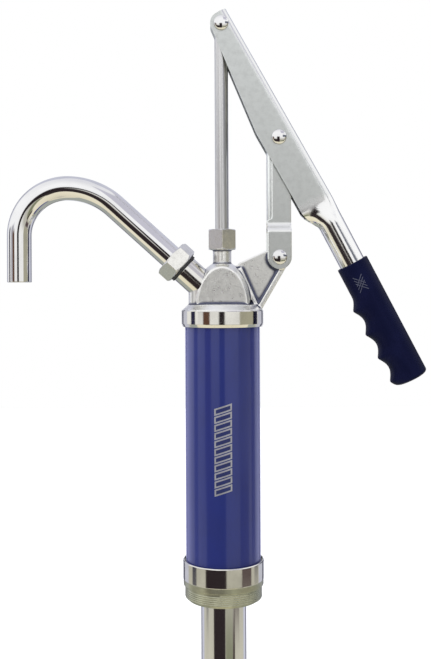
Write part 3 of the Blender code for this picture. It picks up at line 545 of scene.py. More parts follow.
def wrapped_bars_tree():
    """A column of slanted flat bars, wrapped on the front of a round piece."""
    sizes = ("Radius", "Thickness", "Width", "Height", "Pitch", "Slant", "Middle")
    sockets = {**dict.fromkeys(sizes, "Float"), "Count": "Int", "Finish": "Material"}
    tree, group_input, result = start_tree("wrapped_bars", sockets)
    given = group_input.outputs
    sides = {"X": given["Width"], "Y": given["Thickness"], "Z": given["Height"]}
    size = add_node(tree, "ShaderNodeCombineXYZ", sides)
    bar = add_node(tree, "GeometryNodeMeshCube", {"Vertices X": 14, "Size": size.outputs["Vector"]})
    spread = tree_math(tree, "MULTIPLY", tree_math(tree, "SUBTRACT", given["Count"], 1.0), -0.5)
    lowest = tree_math(tree, "MULTIPLY", spread, given["Pitch"])
    line = {
        "Count": given["Count"],
        "Start Location": upward(tree, tree_math(tree, "ADD", lowest, given["Middle"])),
        "Offset": upward(tree, given["Pitch"]),
    }
    column = add_node(tree, "GeometryNodeMeshLine", line)
    repeat = add_node(
        tree,
        "GeometryNodeInstanceOnPoints",
        {"Points": column.outputs["Mesh"], "Instance": bar.outputs["Mesh"]},
    )
    real = add_node(tree, "GeometryNodeRealizeInstances", {"Geometry": repeat.outputs["Instances"]})
    place = add_node(tree, "GeometryNodeInputPosition")
    parts = add_node(tree, "ShaderNodeSeparateXYZ", {"Vector": place.outputs["Position"]}).outputs
    reach = tree_math(tree, "SUBTRACT", given["Radius"], parts["Y"])
    turn = tree_math(tree, "DIVIDE", parts["X"], given["Radius"])
    back = tree_math(tree, "MULTIPLY", reach, -1.0)
    lift = tree_math(tree, "MULTIPLY", parts["X"], given["Slant"])
    wrapped = {
        "X": tree_math(tree, "MULTIPLY", reach, tree_math(tree, "SINE", turn)),
        "Y": tree_math(tree, "MULTIPLY", back, tree_math(tree, "COSINE", turn)),
        "Z": tree_math(tree, "ADD", parts["Z"], lift),
    }
    bent = add_node(tree, "ShaderNodeCombineXYZ", wrapped).outputs["Vector"]
    bend = add_node(
        tree, "GeometryNodeSetPosition", {"Geometry": real.outputs["Geometry"], "Position": bent}
    )
    end_tree(tree, group_input, result, bend.outputs["Geometry"])
    return tree


SLOT_CIRCLE = 15.0 * MM  # where the strainer's cutters stand


def slotted_tree():
    """Upright slots cut through a round piece, at equal steps round its axis."""
    sockets = {"Body": "Geometry", "Slots": "Int", "Slot Size": "Vector", "Height": "Float"}
    tree, group_input, result = start_tree("slot_ring", {**sockets, "Finish": "Material"})
    given = group_input.outputs
    stands = {"Radius": SLOT_CIRCLE, "Vertices": given["Slots"]}
    circle = add_node(tree, "GeometryNodeMeshCircle", stands)
    slot = add_node(tree, "GeometryNodeMeshCube", {"Size": given["Slot Size"]})
    outward = add_node(tree, "GeometryNodeInputPosition").outputs["Position"]
    facing = add_node(
        tree, "FunctionNodeAlignRotationToVector", {"Vector": outward}, axis="X", pivot_axis="Z"
    )
    ring = {
        "Points": circle.outputs["Mesh"],
        "Instance": slot.outputs["Mesh"],
        "Rotation": facing.outputs["Rotation"],
    }
    repeat = add_node(tree, "GeometryNodeInstanceOnPoints", ring)
    move = add_node(
        tree,
        "GeometryNodeTransform",
        {"Geometry": repeat.outputs["Instances"], "Translation": upward(tree, given["Height"])},
    )
    carve = add_node(
        tree,
        "GeometryNodeMeshBoolean",
        {"Mesh 1": given["Body"], "Mesh 2": move.outputs["Geometry"]},
        operation="DIFFERENCE",
    )
    end_tree(tree, group_input, result, carve.outputs["Mesh"])
    return tree


def hollow_tree():
    """Keeps how far each point lies under the smoothed surface round it, as an attribute."""
    sockets = {"Casting": "Geometry", "Reach": "Int", "Finish": "Material"}
    tree, group_input, result = start_tree("hollow_measure", sockets)
    given = group_input.outputs
    place = add_node(tree, "GeometryNodeInputPosition").outputs["Position"]
    blur = add_node(
        tree, "GeometryNodeBlurAttribute", {"Iterations": given["Reach"]}, data_type="FLOAT_VECTOR"
    )
    vector_in = [socket for socket in blur.inputs if socket.name == "Value" and socket.enabled][0]
    vector_out = [socket for socket in blur.outputs if socket.enabled][0]
    tree.links.new(place, vector_in)
    offset = add_node(tree, "ShaderNodeVectorMath", {0: vector_out, 1: place}, operation="SUBTRACT")
    facing = add_node(tree, "GeometryNodeInputNormal").outputs["Normal"]
    depth = add_node(
        tree, "ShaderNodeVectorMath", {0: offset.outputs["Vector"], 1: facing}, operation="DOT_PRODUCT"
    )
    kept = {"Name": "hollow", "Geometry": given["Casting"], "Value": depth.outputs["Value"]}
    store = add_node(tree, "GeometryNodeStoreNamedAttribute", kept, data_type="FLOAT", domain="POINT")
    end_tree(tree, group_input, result, store.outputs["Geometry"])
    return tree


def grown(name, tree, values, mesh=None):
    """An object whose mesh a node tree makes from the given values."""
    thing = new_object(name, mesh or bpy.data.meshes.new(name))
    grow = thing.modifiers.new("Grow", "NODES")
    grow.node_group = tree
    for socket in tree.interface.items_tree:
        if socket.in_out == "INPUT" and socket.name in values:
            grow[socket.identifier] = values[socket.name]
    return settle(thing)


# ---------------------------------------------------------------- finishes


def shader_group(name, inputs, outputs):
    """A shader node group with named sockets, and its input and output nodes."""
    group = bpy.data.node_groups.new(name, "ShaderNodeTree")
    for socket, kind in inputs.items():
        group.interface.new_socket(socket, in_out="INPUT", socket_type="NodeSocket" + kind)
    for socket, kind in outputs.items():
        group.interface.new_socket(socket, in_out="OUTPUT", socket_type="NodeSocket" + kind)
    return group, group.nodes.new("NodeGroupInput"), group.nodes.new("NodeGroupOutput")


def noise(group, vector, scale, detail):
    """Noise, as a value about 0.5."""
    fed = {"Vector": vector, "Scale": scale, "Detail": detail}
    return add_node(group, "ShaderNodeTexNoise", fed).outputs["Fac"]


def spread_value(group, value, low, high, low_out, high_out):
    """Map Range from two numbers to two outputs or numbers."""
    fed = {"Value": value, "From Min": low, "From Max": high, "To Min": low_out, "To Max": high_out}
    return add_node(group, "ShaderNodeMapRange", fed).outputs["Result"]


def mix_colours(group, share, first, second):
    """A colour between two, by a share."""
    node = add_node(group, "ShaderNodeMix", {"Factor": share}, data_type="RGBA")
    for socket, given in ((node.inputs["A"], first), (node.inputs["B"], second)):
        if isinstance(given, tuple):
            socket.default_value = given
        else:
            group.links.new(given, socket)
    return node.outputs["Result"]


def surface_group():
    """Clouds of tarnish and a fine grain, as a colour, a roughness and a height."""
    values = ("Marks", "Roughness", "Roughness Spread", "Grain Scale", "Cloud Scale")
    colours = {"Vector": "Vector", "Colour": "Color", "Marks Colour": "Color"}
    outputs = {"Colour": "Color", "Roughness": "Float", "Height": "Float"}
    group, group_input, result = shader_group(
        "surface_marks", {**colours, **dict.fromkeys(values, "Float")}, outputs
    )
    given = group_input.outputs
    grain = noise(group, given["Vector"], given["Grain Scale"], 2.0)
    clouds = noise(group, given["Vector"], given["Cloud Scale"], 5.0)
    patches = spread_value(group, clouds, 0.42, 0.68, 0.0, 1.0)
    share = tree_math(group, "MULTIPLY", patches, given["Marks"])
    specks = spread_value(group, grain, 0.35, 0.65, -0.5, 0.5)
    speckled = tree_math(group, "MULTIPLY", specks, tree_math(group, "MULTIPLY", given["Marks"], 0.5))
    amount = tree_math(group, "ADD", share, speckled)
    dullness = spread_value(group, clouds, 0.3, 0.7, -1.0, 1.0)
    uneven = tree_math(group, "MULTIPLY", dullness, given["Roughness Spread"])
    made = {
        "Colour": mix_colours(group, amount, given["Colour"], given["Marks Colour"]),
        "Roughness": tree_math(group, "ADD", given["Roughness"], uneven),
        "Height": grain,
    }
    for socket, value in made.items():
        group.links.new(value, result.inputs[socket])
    return group


def edge_group():
    """Polished raised edges with a painted highlight, and painted shade in sunk corners, as a colour and
    a roughness.
    """
    values = dict.fromkeys(("Pointiness", "Roughness", "Polish"), "Float")
    colours = dict.fromkeys(("Colour", "Edge Highlight Colour", "Corner Shade Colour"), "Color")
    outputs = {"Colour": "Color", "Roughness": "Float"}
    group, group_input, result = shader_group("edge_polish_and_painted_light", {**values, **colours}, outputs)
    given = group_input.outputs
    # raised edges get a painted highlight colour, sunk corners a painted shade colour
    raised = spread_value(group, given["Pointiness"], 0.508, 0.56, 0.0, 1.0)
    sunk = spread_value(group, given["Pointiness"], 0.492, 0.43, 0.0, 1.0)
    bright = mix_colours(group, raised, given["Colour"], given["Edge Highlight Colour"])
    dark = mix_colours(group, sunk, bright, given["Corner Shade Colour"])
    polish_and_highlight = tree_math(group, "MULTIPLY", raised, given["Polish"])
    glossy = tree_math(group, "SUBTRACT", given["Roughness"], polish_and_highlight)
    group.links.new(dark, result.inputs["Colour"])
    group.links.new(glossy, result.inputs["Roughness"])
    return group


SHARED = {}


def shared_group(name, build):
    if name not in SHARED:
        SHARED[name] = build()
    return SHARED[name]


def opaque(rgb):
    return (*rgb, 1.0)


def scaled(rgb, factor):
    return tuple(min(1.0, channel * factor) for channel in rgb)


class Finish:
    """What a finish needs besides its colour; one surface of the pump each."""

    def __init__(
        self, roughness, metallic, marks, spread, grain, clouds, bump, stretch=(1.0, 1.0, 1.0), edge=None
    ):
        self.roughness = roughness
        self.metallic = metallic
        self.marks = marks
        self.spread = spread
        self.grain = grain
        self.clouds = clouds
        self.bump = bump
        self.stretch = stretch
        self.edge = edge


FINISHES = {
    "chrome_tube": Finish(0.07, 1.0, 0.25, 0.025, 2400.0, 60.0, 0.002 * MM),
    "drawn_chrome": Finish(0.1, 1.0, 0.3, 0.03, 1800.0, 50.0, 0.003 * MM, stretch=(1.0, 1.0, 0.06)),
    "ground_rod": Finish(0.3, 1.0, 0.25, 0.03, 1800.0, 60.0, 0.003 * MM, stretch=(1.0, 1.0, 0.06)),
    "nut_nickel": Finish(0.2, 1.0, 0.35, 0.05, 900.0, 260.0, 0.015 * MM),
    "zinc_sheet": Finish(0.34, 1.0, 0.4, 0.04, 1100.0, 240.0, 0.02 * MM, edge=0.12),
    "cast_nickel": Finish(0.31, 1.0, 0.2, 0.05, 750.0, 330.0, 0.05 * MM),
    "polished_nickel": Finish(0.1, 1.0, 0.35, 0.03, 1500.0, 70.0, 0.004 * MM),
    "thread_nickel": Finish(0.36, 1.0, 0.6, 0.06, 900.0, 120.0, 0.02 * MM),
    "barrel_paint": Finish(0.34, 0.3, 0.35, 0.04, 5200.0, 40.0, 0.004 * MM),
    "grip_rubber": Finish(0.42, 0.0, 0.4, 0.06, 1700.0, 60.0, 0.05 * MM),
    "grip_mark": Finish(0.5, 0.0, 0.4, 0.06, 2500.0, 150.0, 0.01 * MM),
    "valve_brass": Finish(0.3, 1.0, 0.5, 0.08, 1200.0, 110.0, 0.01 * MM),
    "seal_rubber": Finish(0.62, 0.0, 0.5, 0.08, 2200.0, 150.0, 0.02 * MM),
    "gasket_fibre": Finish(0.85, 0.0, 0.7, 0.05, 1600.0, 200.0, 0.05 * MM, stretch=(1.0, 1.0, 3.0)),
    "decal_silver": Finish(0.38, 0.6, 0.4, 0.06, 2500.0, 150.0, 0.01 * MM),
    "decal_blue": Finish(0.4, 0.0, 0.4, 0.06, 2500.0, 150.0, 0.01 * MM),
}


# How far a point of the casting lies under (or, below 0, over) the smoothed surface: where its painted
# shade in hollows and painted highlight on raised edges start and are full, with colour and greatest
# share
CASTING_HOLLOW_SHADE = (0.06 * MM, 0.34 * MM, 0.94, (0.07, 0.08, 0.15, 1.0))
CASTING_EDGE_HIGHLIGHT = (-0.2 * MM, -0.5 * MM, 0.4, (0.93, 0.93, 0.92, 1.0))
# buffed places are glossier, and their colour is lightened towards this pale grey as a painted highlight
BUFFED_ROUGHNESS, BUFFED_HIGHLIGHT_COLOUR = 0.11, (0.9, 0.9, 0.9, 1.0)
SHADER_CONSTANTS = {
    "barrel_paint": {
        "Coat Weight": 1.0,
        "Coat Roughness": 0.09,
        "Coat IOR": 1.42,
        "Coat Tint": (0.75, 0.8, 1.0, 1.0),
        "Sheen Weight": 0.35,
        "Sheen Tint": (0.5, 0.5, 1.0, 1.0),
    },
    "grip_rubber": {"Specular IOR Level": 0.16, "Specular Tint": (0.35, 0.4, 1.0, 1.0)},
}


def finish_material(name, rgb, marks_rgb):
    """A finish as a material on the piece's own coordinates."""
    if name in bpy.data.materials:
        return bpy.data.materials[name]
    recipe = FINISHES[name]
    material = bpy.data.materials.new(name)
    material.use_nodes = True
    tree = material.node_tree
    shader = tree.nodes["Principled BSDF"]
    constants = {"Metallic": recipe.metallic, **SHADER_CONSTANTS.get(name, {})}
    for socket, value in constants.items():
        shader.inputs[socket].default_value = value
    place = add_node(tree, "ShaderNodeTexCoord").outputs["Object"]
    mapping = add_node(tree, "ShaderNodeMapping", {"Vector": place, "Scale": recipe.stretch})
    values = {
        "Vector": mapping.outputs["Vector"],
        "Colour": opaque(rgb),
        "Marks Colour": opaque(marks_rgb),
        "Marks": recipe.marks,
        "Roughness": recipe.roughness,
        "Roughness Spread": recipe.spread,
        "Grain Scale": recipe.grain,
        "Cloud Scale": recipe.clouds,
    }
    group = shared_group("surface_marks", surface_group)
    marks = add_node(tree, "ShaderNodeGroup", values, node_tree=group).outputs
    bump = add_node(tree, "ShaderNodeBump", {"Distance": recipe.bump, "Height": marks["Height"]})
    tone, roughness = marks["Colour"], marks["Roughness"]
    # the edge group paints a highlight on raised edges and shade in sunk corners, and makes raised edges
    # glossier; worn carries both
    if recipe.edge is not None:
        values = {
            "Pointiness": add_node(tree, "ShaderNodeNewGeometry").outputs["Pointiness"],
            "Colour": tone,
            "Roughness": roughness,
            "Edge Highlight Colour": opaque(scaled(rgb, 1.3)),
            "Corner Shade Colour": opaque(scaled(rgb, 0.35)),
            "Polish": recipe.edge,
        }
        group = shared_group("edge_polish_and_painted_light", edge_group)
        worn = add_node(tree, "ShaderNodeGroup", values, node_tree=group).outputs
        tone, roughness = worn["Colour"], worn["Roughness"]
    # polished places get the lower roughness and a colour lightened towards pale grey, a painted
    # highlight
    if name == "zinc_sheet":
        polish_and_highlight = add_node(tree, "ShaderNodeAttribute", attribute_name="polish_and_highlight").outputs["Fac"]
        roughness = spread_value(tree, polish_and_highlight, 0.0, 1.0, roughness, BUFFED_ROUGHNESS)
        tone = mix_colours(tree, polish_and_highlight, tone, BUFFED_HIGHLIGHT_COLOUR)
    # painted shade darkens the casting's hollows and a painted highlight lightens its raised edges
    if name == "cast_nickel":
        hollow = add_node(tree, "ShaderNodeAttribute", attribute_name="hollow").outputs["Fac"]
        for start, full, share, shade in (CASTING_HOLLOW_SHADE, CASTING_EDGE_HIGHLIGHT):
            tone = mix_colours(tree, spread_value(tree, hollow, start, full, 0.0, share), tone, shade)
    made = {"Base Color": tone, "Roughness": roughness, "Normal": bump.outputs["Normal"]}
    for socket, value in made.items():
        tree.links.new(value, shader.inputs[socket])
    return material


def finish(name):
    """A finish by name, in the colours of the panel."""
    colours = bpy.context.scene.pump_colours
    tints = {
        "chrome_tube": (colours.chrome, 0.72),
        "drawn_chrome": (colours.chrome, 0.72),
        "ground_rod": (scaled(colours.chrome, 0.83), 0.75),
        "nut_nickel": (scaled(colours.polished, 1.05), 0.7),
        "zinc_sheet": (colours.zinc, 0.8),
        "cast_nickel": (colours.nickel, 0.78),
        "polished_nickel": (colours.polished, 0.7),
        "thread_nickel": ((0.57, 0.58, 0.45), 0.7),
        "barrel_paint": (colours.paint, 0.7),
        "grip_rubber": (colours.grip, 1.9),
        "grip_mark": ((0.055, 0.06, 0.095), 0.6),
        "valve_brass": (colours.brass, 0.6),
        "seal_rubber": (colours.seal, 2.2),
        "gasket_fibre": (colours.fibre, 0.55),
        "decal_silver": ((0.36, 0.36, 0.39), 0.5),
        "decal_blue": (scaled(colours.paint, 0.6), 0.5),
    }
    rgb, factor = tints[name]
    return finish_material(name, tuple(rgb), scaled(rgb, factor))


# ---------------------------------------------------------------- barrel and adapter


class PUMP_OT_barrel(bpy.types.Operator):
    """Build the painted barrel and its decal"""

    bl_idname = "pump.barrel"
    bl_label = "Barrel"

    def execute(self, context):
        sizes = context.scene.pump_barrel
        radius = radius_of("cylinder_tube")
        outline = sleeve(radius - sizes.wall, radius, BARREL_LOW, BARREL_HIGH, 0.3 * MM)
        mesh = lathe("barrel", outline, FINE)
        add_piece("barrel", mesh, finish("barrel_paint"), "pump_body", ["cylinder_tube"])
        film = 0.12 * MM
        layers = {
            "decal_bars": (0.0, "decal_silver", film),
            "decal_fields": (sizes.decal_outline, "decal_blue", 2 * film),
        }
        tree = wrapped_bars_tree()
        for name, (inset, look, thickness) in layers.items():
            values = {
                "Radius": radius,
                "Thickness": thickness,
                "Width": sizes.decal_width - 2 * inset,
                "Height": sizes.decal_bar - 2 * inset,
                "Pitch": sizes.decal_pitch,
                "Slant": 0.32,
                "Middle": sizes.decal_middle,
                "Count": sizes.decal_count,
                "Finish": finish(look),
            }
            decal = grown(name, tree, values)
            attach(decal, "pump_body")
        return {"FINISHED"}


class PUMP_OT_adapter(bpy.types.Operator):
    """Build the bung adapter with its polished collar and its thread"""

    bl_idname = "pump.adapter"
    bl_label = "Bung adapter"

    def execute(self, context):
        sizes = context.scene.pump_barrel
        collar = radius_of("bung_adapter")
        socket = radius_of("cylinder_tube") + FIT
        suction = radius_of("outer_suction_tube") + FIT
        thread = 30.15 * MM
        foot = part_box("bung_adapter")[0].z
        core = thread - 0.4 * MM
        passage, shelf, ceiling = 13.0 * MM, 4.0 * MM, -1.2 * MM
        outline = rounded(
            [
                (collar - 0.5 * MM, sizes.collar_height, 0.3 * MM),
                (collar, sizes.collar_height - 0.7 * MM, 0.3 * MM),
                (collar, sizes.polished_foot, 0.3 * MM),
                (collar - 0.35 * MM, sizes.polished_foot - 0.5 * MM, 0.2 * MM),
                (collar - 0.35 * MM, 0.0, 0.5 * MM),
                (core, 0.0, 0.2 * MM),
                (core, foot + 2.6 * MM, 0.8 * MM),
                (core - 2.2 * MM, foot, 0.4 * MM),
                (suction, foot, 0.2 * MM),
                (suction, ceiling, 0.2 * MM),
                (passage, ceiling, 0.2 * MM),
                (passage, shelf, 0.2 * MM),
                (socket, shelf, 0.2 * MM),
                (socket, sizes.collar_height - 2.2 * MM, 0.2 * MM),
                (socket + 0.9 * MM, sizes.collar_height - 1.6 * MM, 0.2 * MM),
                (socket + 0.9 * MM, sizes.collar_height, 0.2 * MM),
            ]
        )
        mesh = lathe("adapter_collar", outline, FINE)
        look = finish("polished_nickel")
        piece = add_piece("adapter_collar", mesh, look, "pump_body", ["bung_adapter"])
        piece.data.materials.append(finish("thread_nickel"))
        for face in piece.data.polygons:
            inside = math.hypot(face.center.x, face.center.y) < collar - 0.9 * MM
            under = face.center.z < sizes.polished_foot - 0.3 * MM
            face.material_index = 1 if inside or under else 0
        bottom = foot + 2.2 * MM
        values = {
            "Radius": thread - sizes.thread_ridge,
            "Ridge": sizes.thread_ridge,
            "Pitch": sizes.thread_pitch,
            "Turns": (-sizes.thread_ridge - 0.2 * MM - bottom) / sizes.thread_pitch,
            "Bottom": bottom,
            "Finish": finish("thread_nickel"),
        }
        ridge = grown("bung_thread_ridge", thread_tree(), values)
        smooth(ridge.data, 60.0)
        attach(ridge, "pump_body")
        return {"FINISHED"}


# ---------------------------------------------------------------- head


def dome_mesh(sizes):
    """Dome with its two flat faces, neck and stuffing box."""
    start = math.asin(sizes.neck_radius / sizes.dome_radius)
    box_radius, box_low, box_top = 9.4 * MM, 261.2 * MM, 271.0 * MM
    foot = sizes.ledge - 4.0 * MM
    outline = [(0.0, box_top), (box_radius, box_top), (box_radius, box_low)]
    outline.append((sizes.neck_radius, box_low))
    steps = 60
    for step in range(steps + 1):
        turn = start + (math.pi / 2 - start) * step / steps
        across = sizes.dome_radius * math.sin(turn)
        outline.append((across, sizes.ledge + sizes.dome_rise * math.cos(turn)))
    outline += [(sizes.dome_radius, foot), (0.0, foot)]
    mesh = lathe("dome", outline, 200)
    for point in mesh.vertices:
        if point.co.z > sizes.ledge + 0.1 * MM:
            point.co.y = max(-sizes.dome_flat, min(sizes.dome_flat, point.co.y))
    return mesh


def lug_web_outline(eye_radius):
    """The lug's thin web, from inside the dome out to the eye."""
    eye = (LUG_PIN.x, LUG_PIN.z)
    return [
        (8.0 * MM, 216.0 * MM),
        (8.0 * MM, 246.0 * MM),
        (14.0 * MM, 251.2 * MM),
        (27.0 * MM, 257.0 * MM),
        *arc(eye, eye_radius - 0.3 * MM, 120, 100, 2),
        *arc(eye, eye_radius - 0.3 * MM, 0, -30, 2),
        (30.5 * MM, 219.5 * MM),
        (27.5 * MM, 216.0 * MM),
    ]


def rib_mesh(name, start, end, half_thick, half_wide):
    """A straight rib along the web's edge, between two points of the X-Z plane."""
    start, end = Vector((start[0], 0.0, start[1])), Vector((end[0], 0.0, end[1]))
    along = end - start
    turn = Matrix.Rotation(math.atan2(along.x, along.z), 4, "Y")
    half_long = along.length / 2
    mesh = box_mesh(name, (-half_thick, -half_wide, -half_long), (half_thick, half_wide, half_long))
    mesh.transform(Matrix.Translation((start + end) / 2) @ turn)
    return mesh


def on_outlet(along):
    """A point on the outlet's axis."""
    return OUTLET_FRAME @ Vector((0.0, 0.0, along))


def casting_mesh(sizes):
    """All solid shapes of the casting, which are then melted into one."""
    skirt = 31.4 * MM
    ledge = [
        (0.0, sizes.ledge),
        (sizes.ledge_radius, sizes.ledge),
        (skirt, sizes.band_top + 0.4 * MM),
        (skirt, HEAD_LOW + 4.0 * MM),
        (0.0, HEAD_LOW + 4.0 * MM),
    ]
    pillar_x = -15.5 * MM
    spigot_core = sizes.spigot_radius - 0.35 * MM
    eye_ends = [(LUG_PIN.x, side * sizes.eye_half, LUG_PIN.z) for side in (-1, 1)]
    shapes = [
        dome_mesh(sizes),
        lathe("ledge", ledge, FINE),
        cylinder_mesh("pillar", 10.9 * MM, (pillar_x, 0.0, 214 * MM), (pillar_x, 0.0, 231 * MM)),
        cylinder_mesh("spigot_core", spigot_core, on_outlet(4 * MM), on_outlet(39.4 * MM)),
        cylinder_mesh("nipple", 10.4 * MM, on_outlet(5 * MM), on_outlet(47.5 * MM)),
        plate_mesh("lug_web", lug_web_outline(sizes.eye_radius), sizes.web_half),
        rib_mesh("outer_rib", (28.6 * MM, 214.8 * MM), (48.2 * MM, 248.4 * MM), 1.9 * MM, 6.2 * MM),
        rib_mesh("inner_rib", (27.2 * MM, 216.2 * MM), (13.6 * MM, 247.2 * MM), 1.6 * MM, 5.4 * MM),
        cylinder_mesh("lug_eye", sizes.eye_radius, *eye_ends),
    ]
    return joined("head_casting", shapes)


def bore_mesh():
    """What is hollow in the casting: barrel socket, chamber, rod hole, outlet and lug hole."""
    rod_hole = ROD_RADIUS + FIT
    socket = radius_of("cylinder_tube") + FIT
    outline = [
        (0.0, 272 * MM),
        (7.6 * MM, 272 * MM),
        (7.6 * MM, 262 * MM),
        (rod_hole, 262 * MM),
        (rod_hole, 236 * MM),
        (8.8 * MM, 236 * MM),
        (8.8 * MM, 215.2 * MM),
        (24.0 * MM, 215.2 * MM),
        (24.0 * MM, 213.0 * MM),
        (socket, 213.0 * MM),
        (socket, 200.0 * MM),
        (0.0, 200.0 * MM),
    ]
    lug_ends = [(LUG_PIN.x, side * 15.0 * MM, LUG_PIN.z) for side in (-1, 1)]
    return [
        lathe("axis_bore", outline, 96),
        cylinder_mesh("outlet_bore", 7.8 * MM, on_outlet(0.0), on_outlet(50 * MM)),
        cylinder_mesh("lug_bore", PIN_HOLE, *lug_ends),
    ]


class PUMP_OT_head(bpy.types.Operator):
    """Build the cast head, its polished band and its outlet spigot"""

    bl_idname = "pump.head"
    bl_label = "Head"

    def execute(self, context):
        sizes = context.scene.pump_head
        casting = new_object("head_casting", casting_mesh(sizes))
        melt = casting.modifiers.new("Melt", "REMESH")
        melt.mode = "VOXEL"
        melt.voxel_size = sizes.grain
        melt.adaptivity = 0.0
        settle(casting)
        ease = casting.modifiers.new("Ease", "SMOOTH")
        ease.factor = 0.5
        ease.iterations = 7
        settle(casting)
        for cutter in bore_mesh():
            cut(casting, cutter)
        melted = casting.data
        bpy.data.objects.remove(casting)
        values = {"Reach": 40, "Finish": finish("cast_nickel")}
        casting = grown("head_casting", hollow_tree(), values, melted)
        smooth(casting.data, 50.0)
        dress(casting, finish("cast_nickel"), "pump_body", ["pump_head"])

        radius = radius_of("pump_head")
        inner = 29.9 * MM
        band = rounded(
            [
                (radius - 1.0 * MM, HEAD_LOW, 0.3 * MM),
                (inner, HEAD_LOW, 0.3 * MM),
                (inner, sizes.band_top, 0.3 * MM),
                (radius - 0.4 * MM, sizes.band_top + 0.4 * MM, 0.3 * MM),
                (radius, sizes.band_top - 0.3 * MM, 0.4 * MM),
                (radius, HEAD_LOW + 2.4 * MM, 0.8 * MM),
            ]
        )
        look = finish("polished_nickel")
        mesh = lathe("head_band", band, FINE)
        add_piece("head_band", mesh, look, "pump_body")

        outer = sizes.spigot_radius
        mesh = lathe("outlet_spigot", sleeve(outer - 0.8 * MM, outer, 20.0 * MM, 39.8 * MM, 0.5 * MM))
        add_piece("outlet_spigot", mesh, look, "pump_body", place=OUTLET_FRAME)
        return {"FINISHED"}


# ---------------------------------------------------------------- nuts


def nut_mesh(name, flats, low, high, hole, corner, turn):
    """A hexagon nut with worn corners and both ends chamfered at 30 degrees."""
    tip = flats / math.sqrt(3)
    corners = []
    for index in range(6):
        where = math.radians(60 * index) + turn
        corners.append((tip * math.cos(where), tip * math.sin(where), corner))
    outline = []
    hexagon = rounded(corners)
    for point, after in zip(hexagon, hexagon[1:]):
        parts = max(1, int((after - point).length / (0.6 * MM)))
        for part in range(parts):
            outline.append(point.lerp(after, part / parts))
    round_face = flats / 2 - 0.3 * MM
    fall = math.tan(math.radians(30))
    worn = 0.12 * MM

    def ring(radius, height):
        return [(*(point.normalized() * radius), height) for point in outline]

    def chamfered(end, inward):
        rows = []
        for inset in (0.0, worn):
            row = []
            for point in outline:
                drop = max(0.0, point.length - round_face) * fall
                height = end + inward * (drop + (worn - inset))
                row.append((*(point * (1 - inset / point.length)), height))
            rows.append(row)
        return rows

    top_rows, low_rows = chamfered(high, -1), chamfered(low, 1)
    rings = [
        ring(hole, low + 0.4 * MM),
        ring(hole, high - 0.4 * MM),
        ring(hole + 0.4 * MM, high),
        ring(round_face, high),
        top_rows[1],
        top_rows[0],
        low_rows[0],
        low_rows[1],
        ring(round_face, low),
        ring(hole + 0.4 * MM, low),
        ring(hole, low + 0.4 * MM),
    ]
    return skin(name, rings, 20.0)


class PUMP_OT_nuts(bpy.types.Operator):
    """Build the gland nut, the union nut and the dark seal beside it"""

    bl_idname = "pump.nuts"
    bl_label = "Nuts"

    def execute(self, context):
        sizes = context.scene.pump_nuts
        look, corner = finish("nut_nickel"), sizes.corner
        low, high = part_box("gland_nut")
        turn = math.radians(30)
        mesh = nut_mesh(
            "gland_hexagon", sizes.gland_flats, low.z, high.z, ROD_RADIUS + FIT, corner, turn
        )
        add_piece("gland_hexagon", mesh, look, "pump_body", ["gland_nut"])
        hole = context.scene.pump_spout.radius + FIT
        turn = sizes.union_turn
        mesh = nut_mesh(
            "union_hexagon", sizes.union_flats, 42.4 * MM, 54.4 * MM, hole, corner, turn
        )
        add_piece(
            "union_hexagon", mesh, look, "pump_body", ["union_nut"], OUTLET_FRAME
        )
        outline = sleeve(10.7 * MM, 12.3 * MM, 40.1 * MM, 42.1 * MM, 0.3 * MM)
        mesh = lathe("union_gap_ring", outline, 96)
        look = finish("seal_rubber")
        add_piece(
            "union_gap_ring", mesh, look, "pump_body", ["union_seal"], OUTLET_FRAME
        )
        return {"FINISHED"}


# ---------------------------------------------------------------- spout


def spout_line(sizes):
    """Centre line of the spout: straight run, back bend, crown, front bend and leg."""
    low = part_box("spout_tube")[0]
    leg_x = low.x + sizes.radius
    crown_x = leg_x + sizes.front_bend
    run = Vector((-math.cos(OUTLET_SLOPE), 0.0, math.sin(OUTLET_SLOPE)))
    sine, cosine = math.sin(OUTLET_SLOPE), math.cos(OUTLET_SLOPE)
    back_bend = (-crown_x * sine + (OUTLET_START - sizes.crown) * cosine) / (1 - cosine)
    back_centre = (crown_x, sizes.crown - back_bend)
    front_centre = (crown_x, sizes.crown - sizes.front_bend)
    first_x, first_z = arc(back_centre, back_bend, 90 - math.degrees(OUTLET_SLOPE), 90, 1)[0]
    start = on_outlet(51.3 * MM)
    straight_end = Vector((first_x, 0.0, first_z))
    points = []
    straight_steps = 12
    for step in range(straight_steps):
        points.append((start.lerp(straight_end, step / straight_steps), run))
    for centre, radius, from_degrees, to_degrees, steps in (
        (back_centre, back_bend, 90 - math.degrees(OUTLET_SLOPE), 90, 28),
        (front_centre, sizes.front_bend, 90, 180, 48),
    ):
        for step in range(steps):
            degrees = from_degrees + (to_degrees - from_degrees) * step / steps
            turn = math.radians(degrees)
            across, up = centre[0] + radius * math.cos(turn), centre[1] + radius * math.sin(turn)
            points.append((Vector((across, 0.0, up)), Vector((-math.sin(turn), 0.0, math.cos(turn)))))
    down = Vector((0.0, 0.0, -1.0))
    leg_steps = 12
    leg_top = Vector((leg_x, 0.0, sizes.crown - sizes.front_bend))
    mouth = Vector((leg_x, 0.0, low.z))
    for step in range(leg_steps + 1):
        points.append((leg_top.lerp(mouth, step / leg_steps), down))
    return points


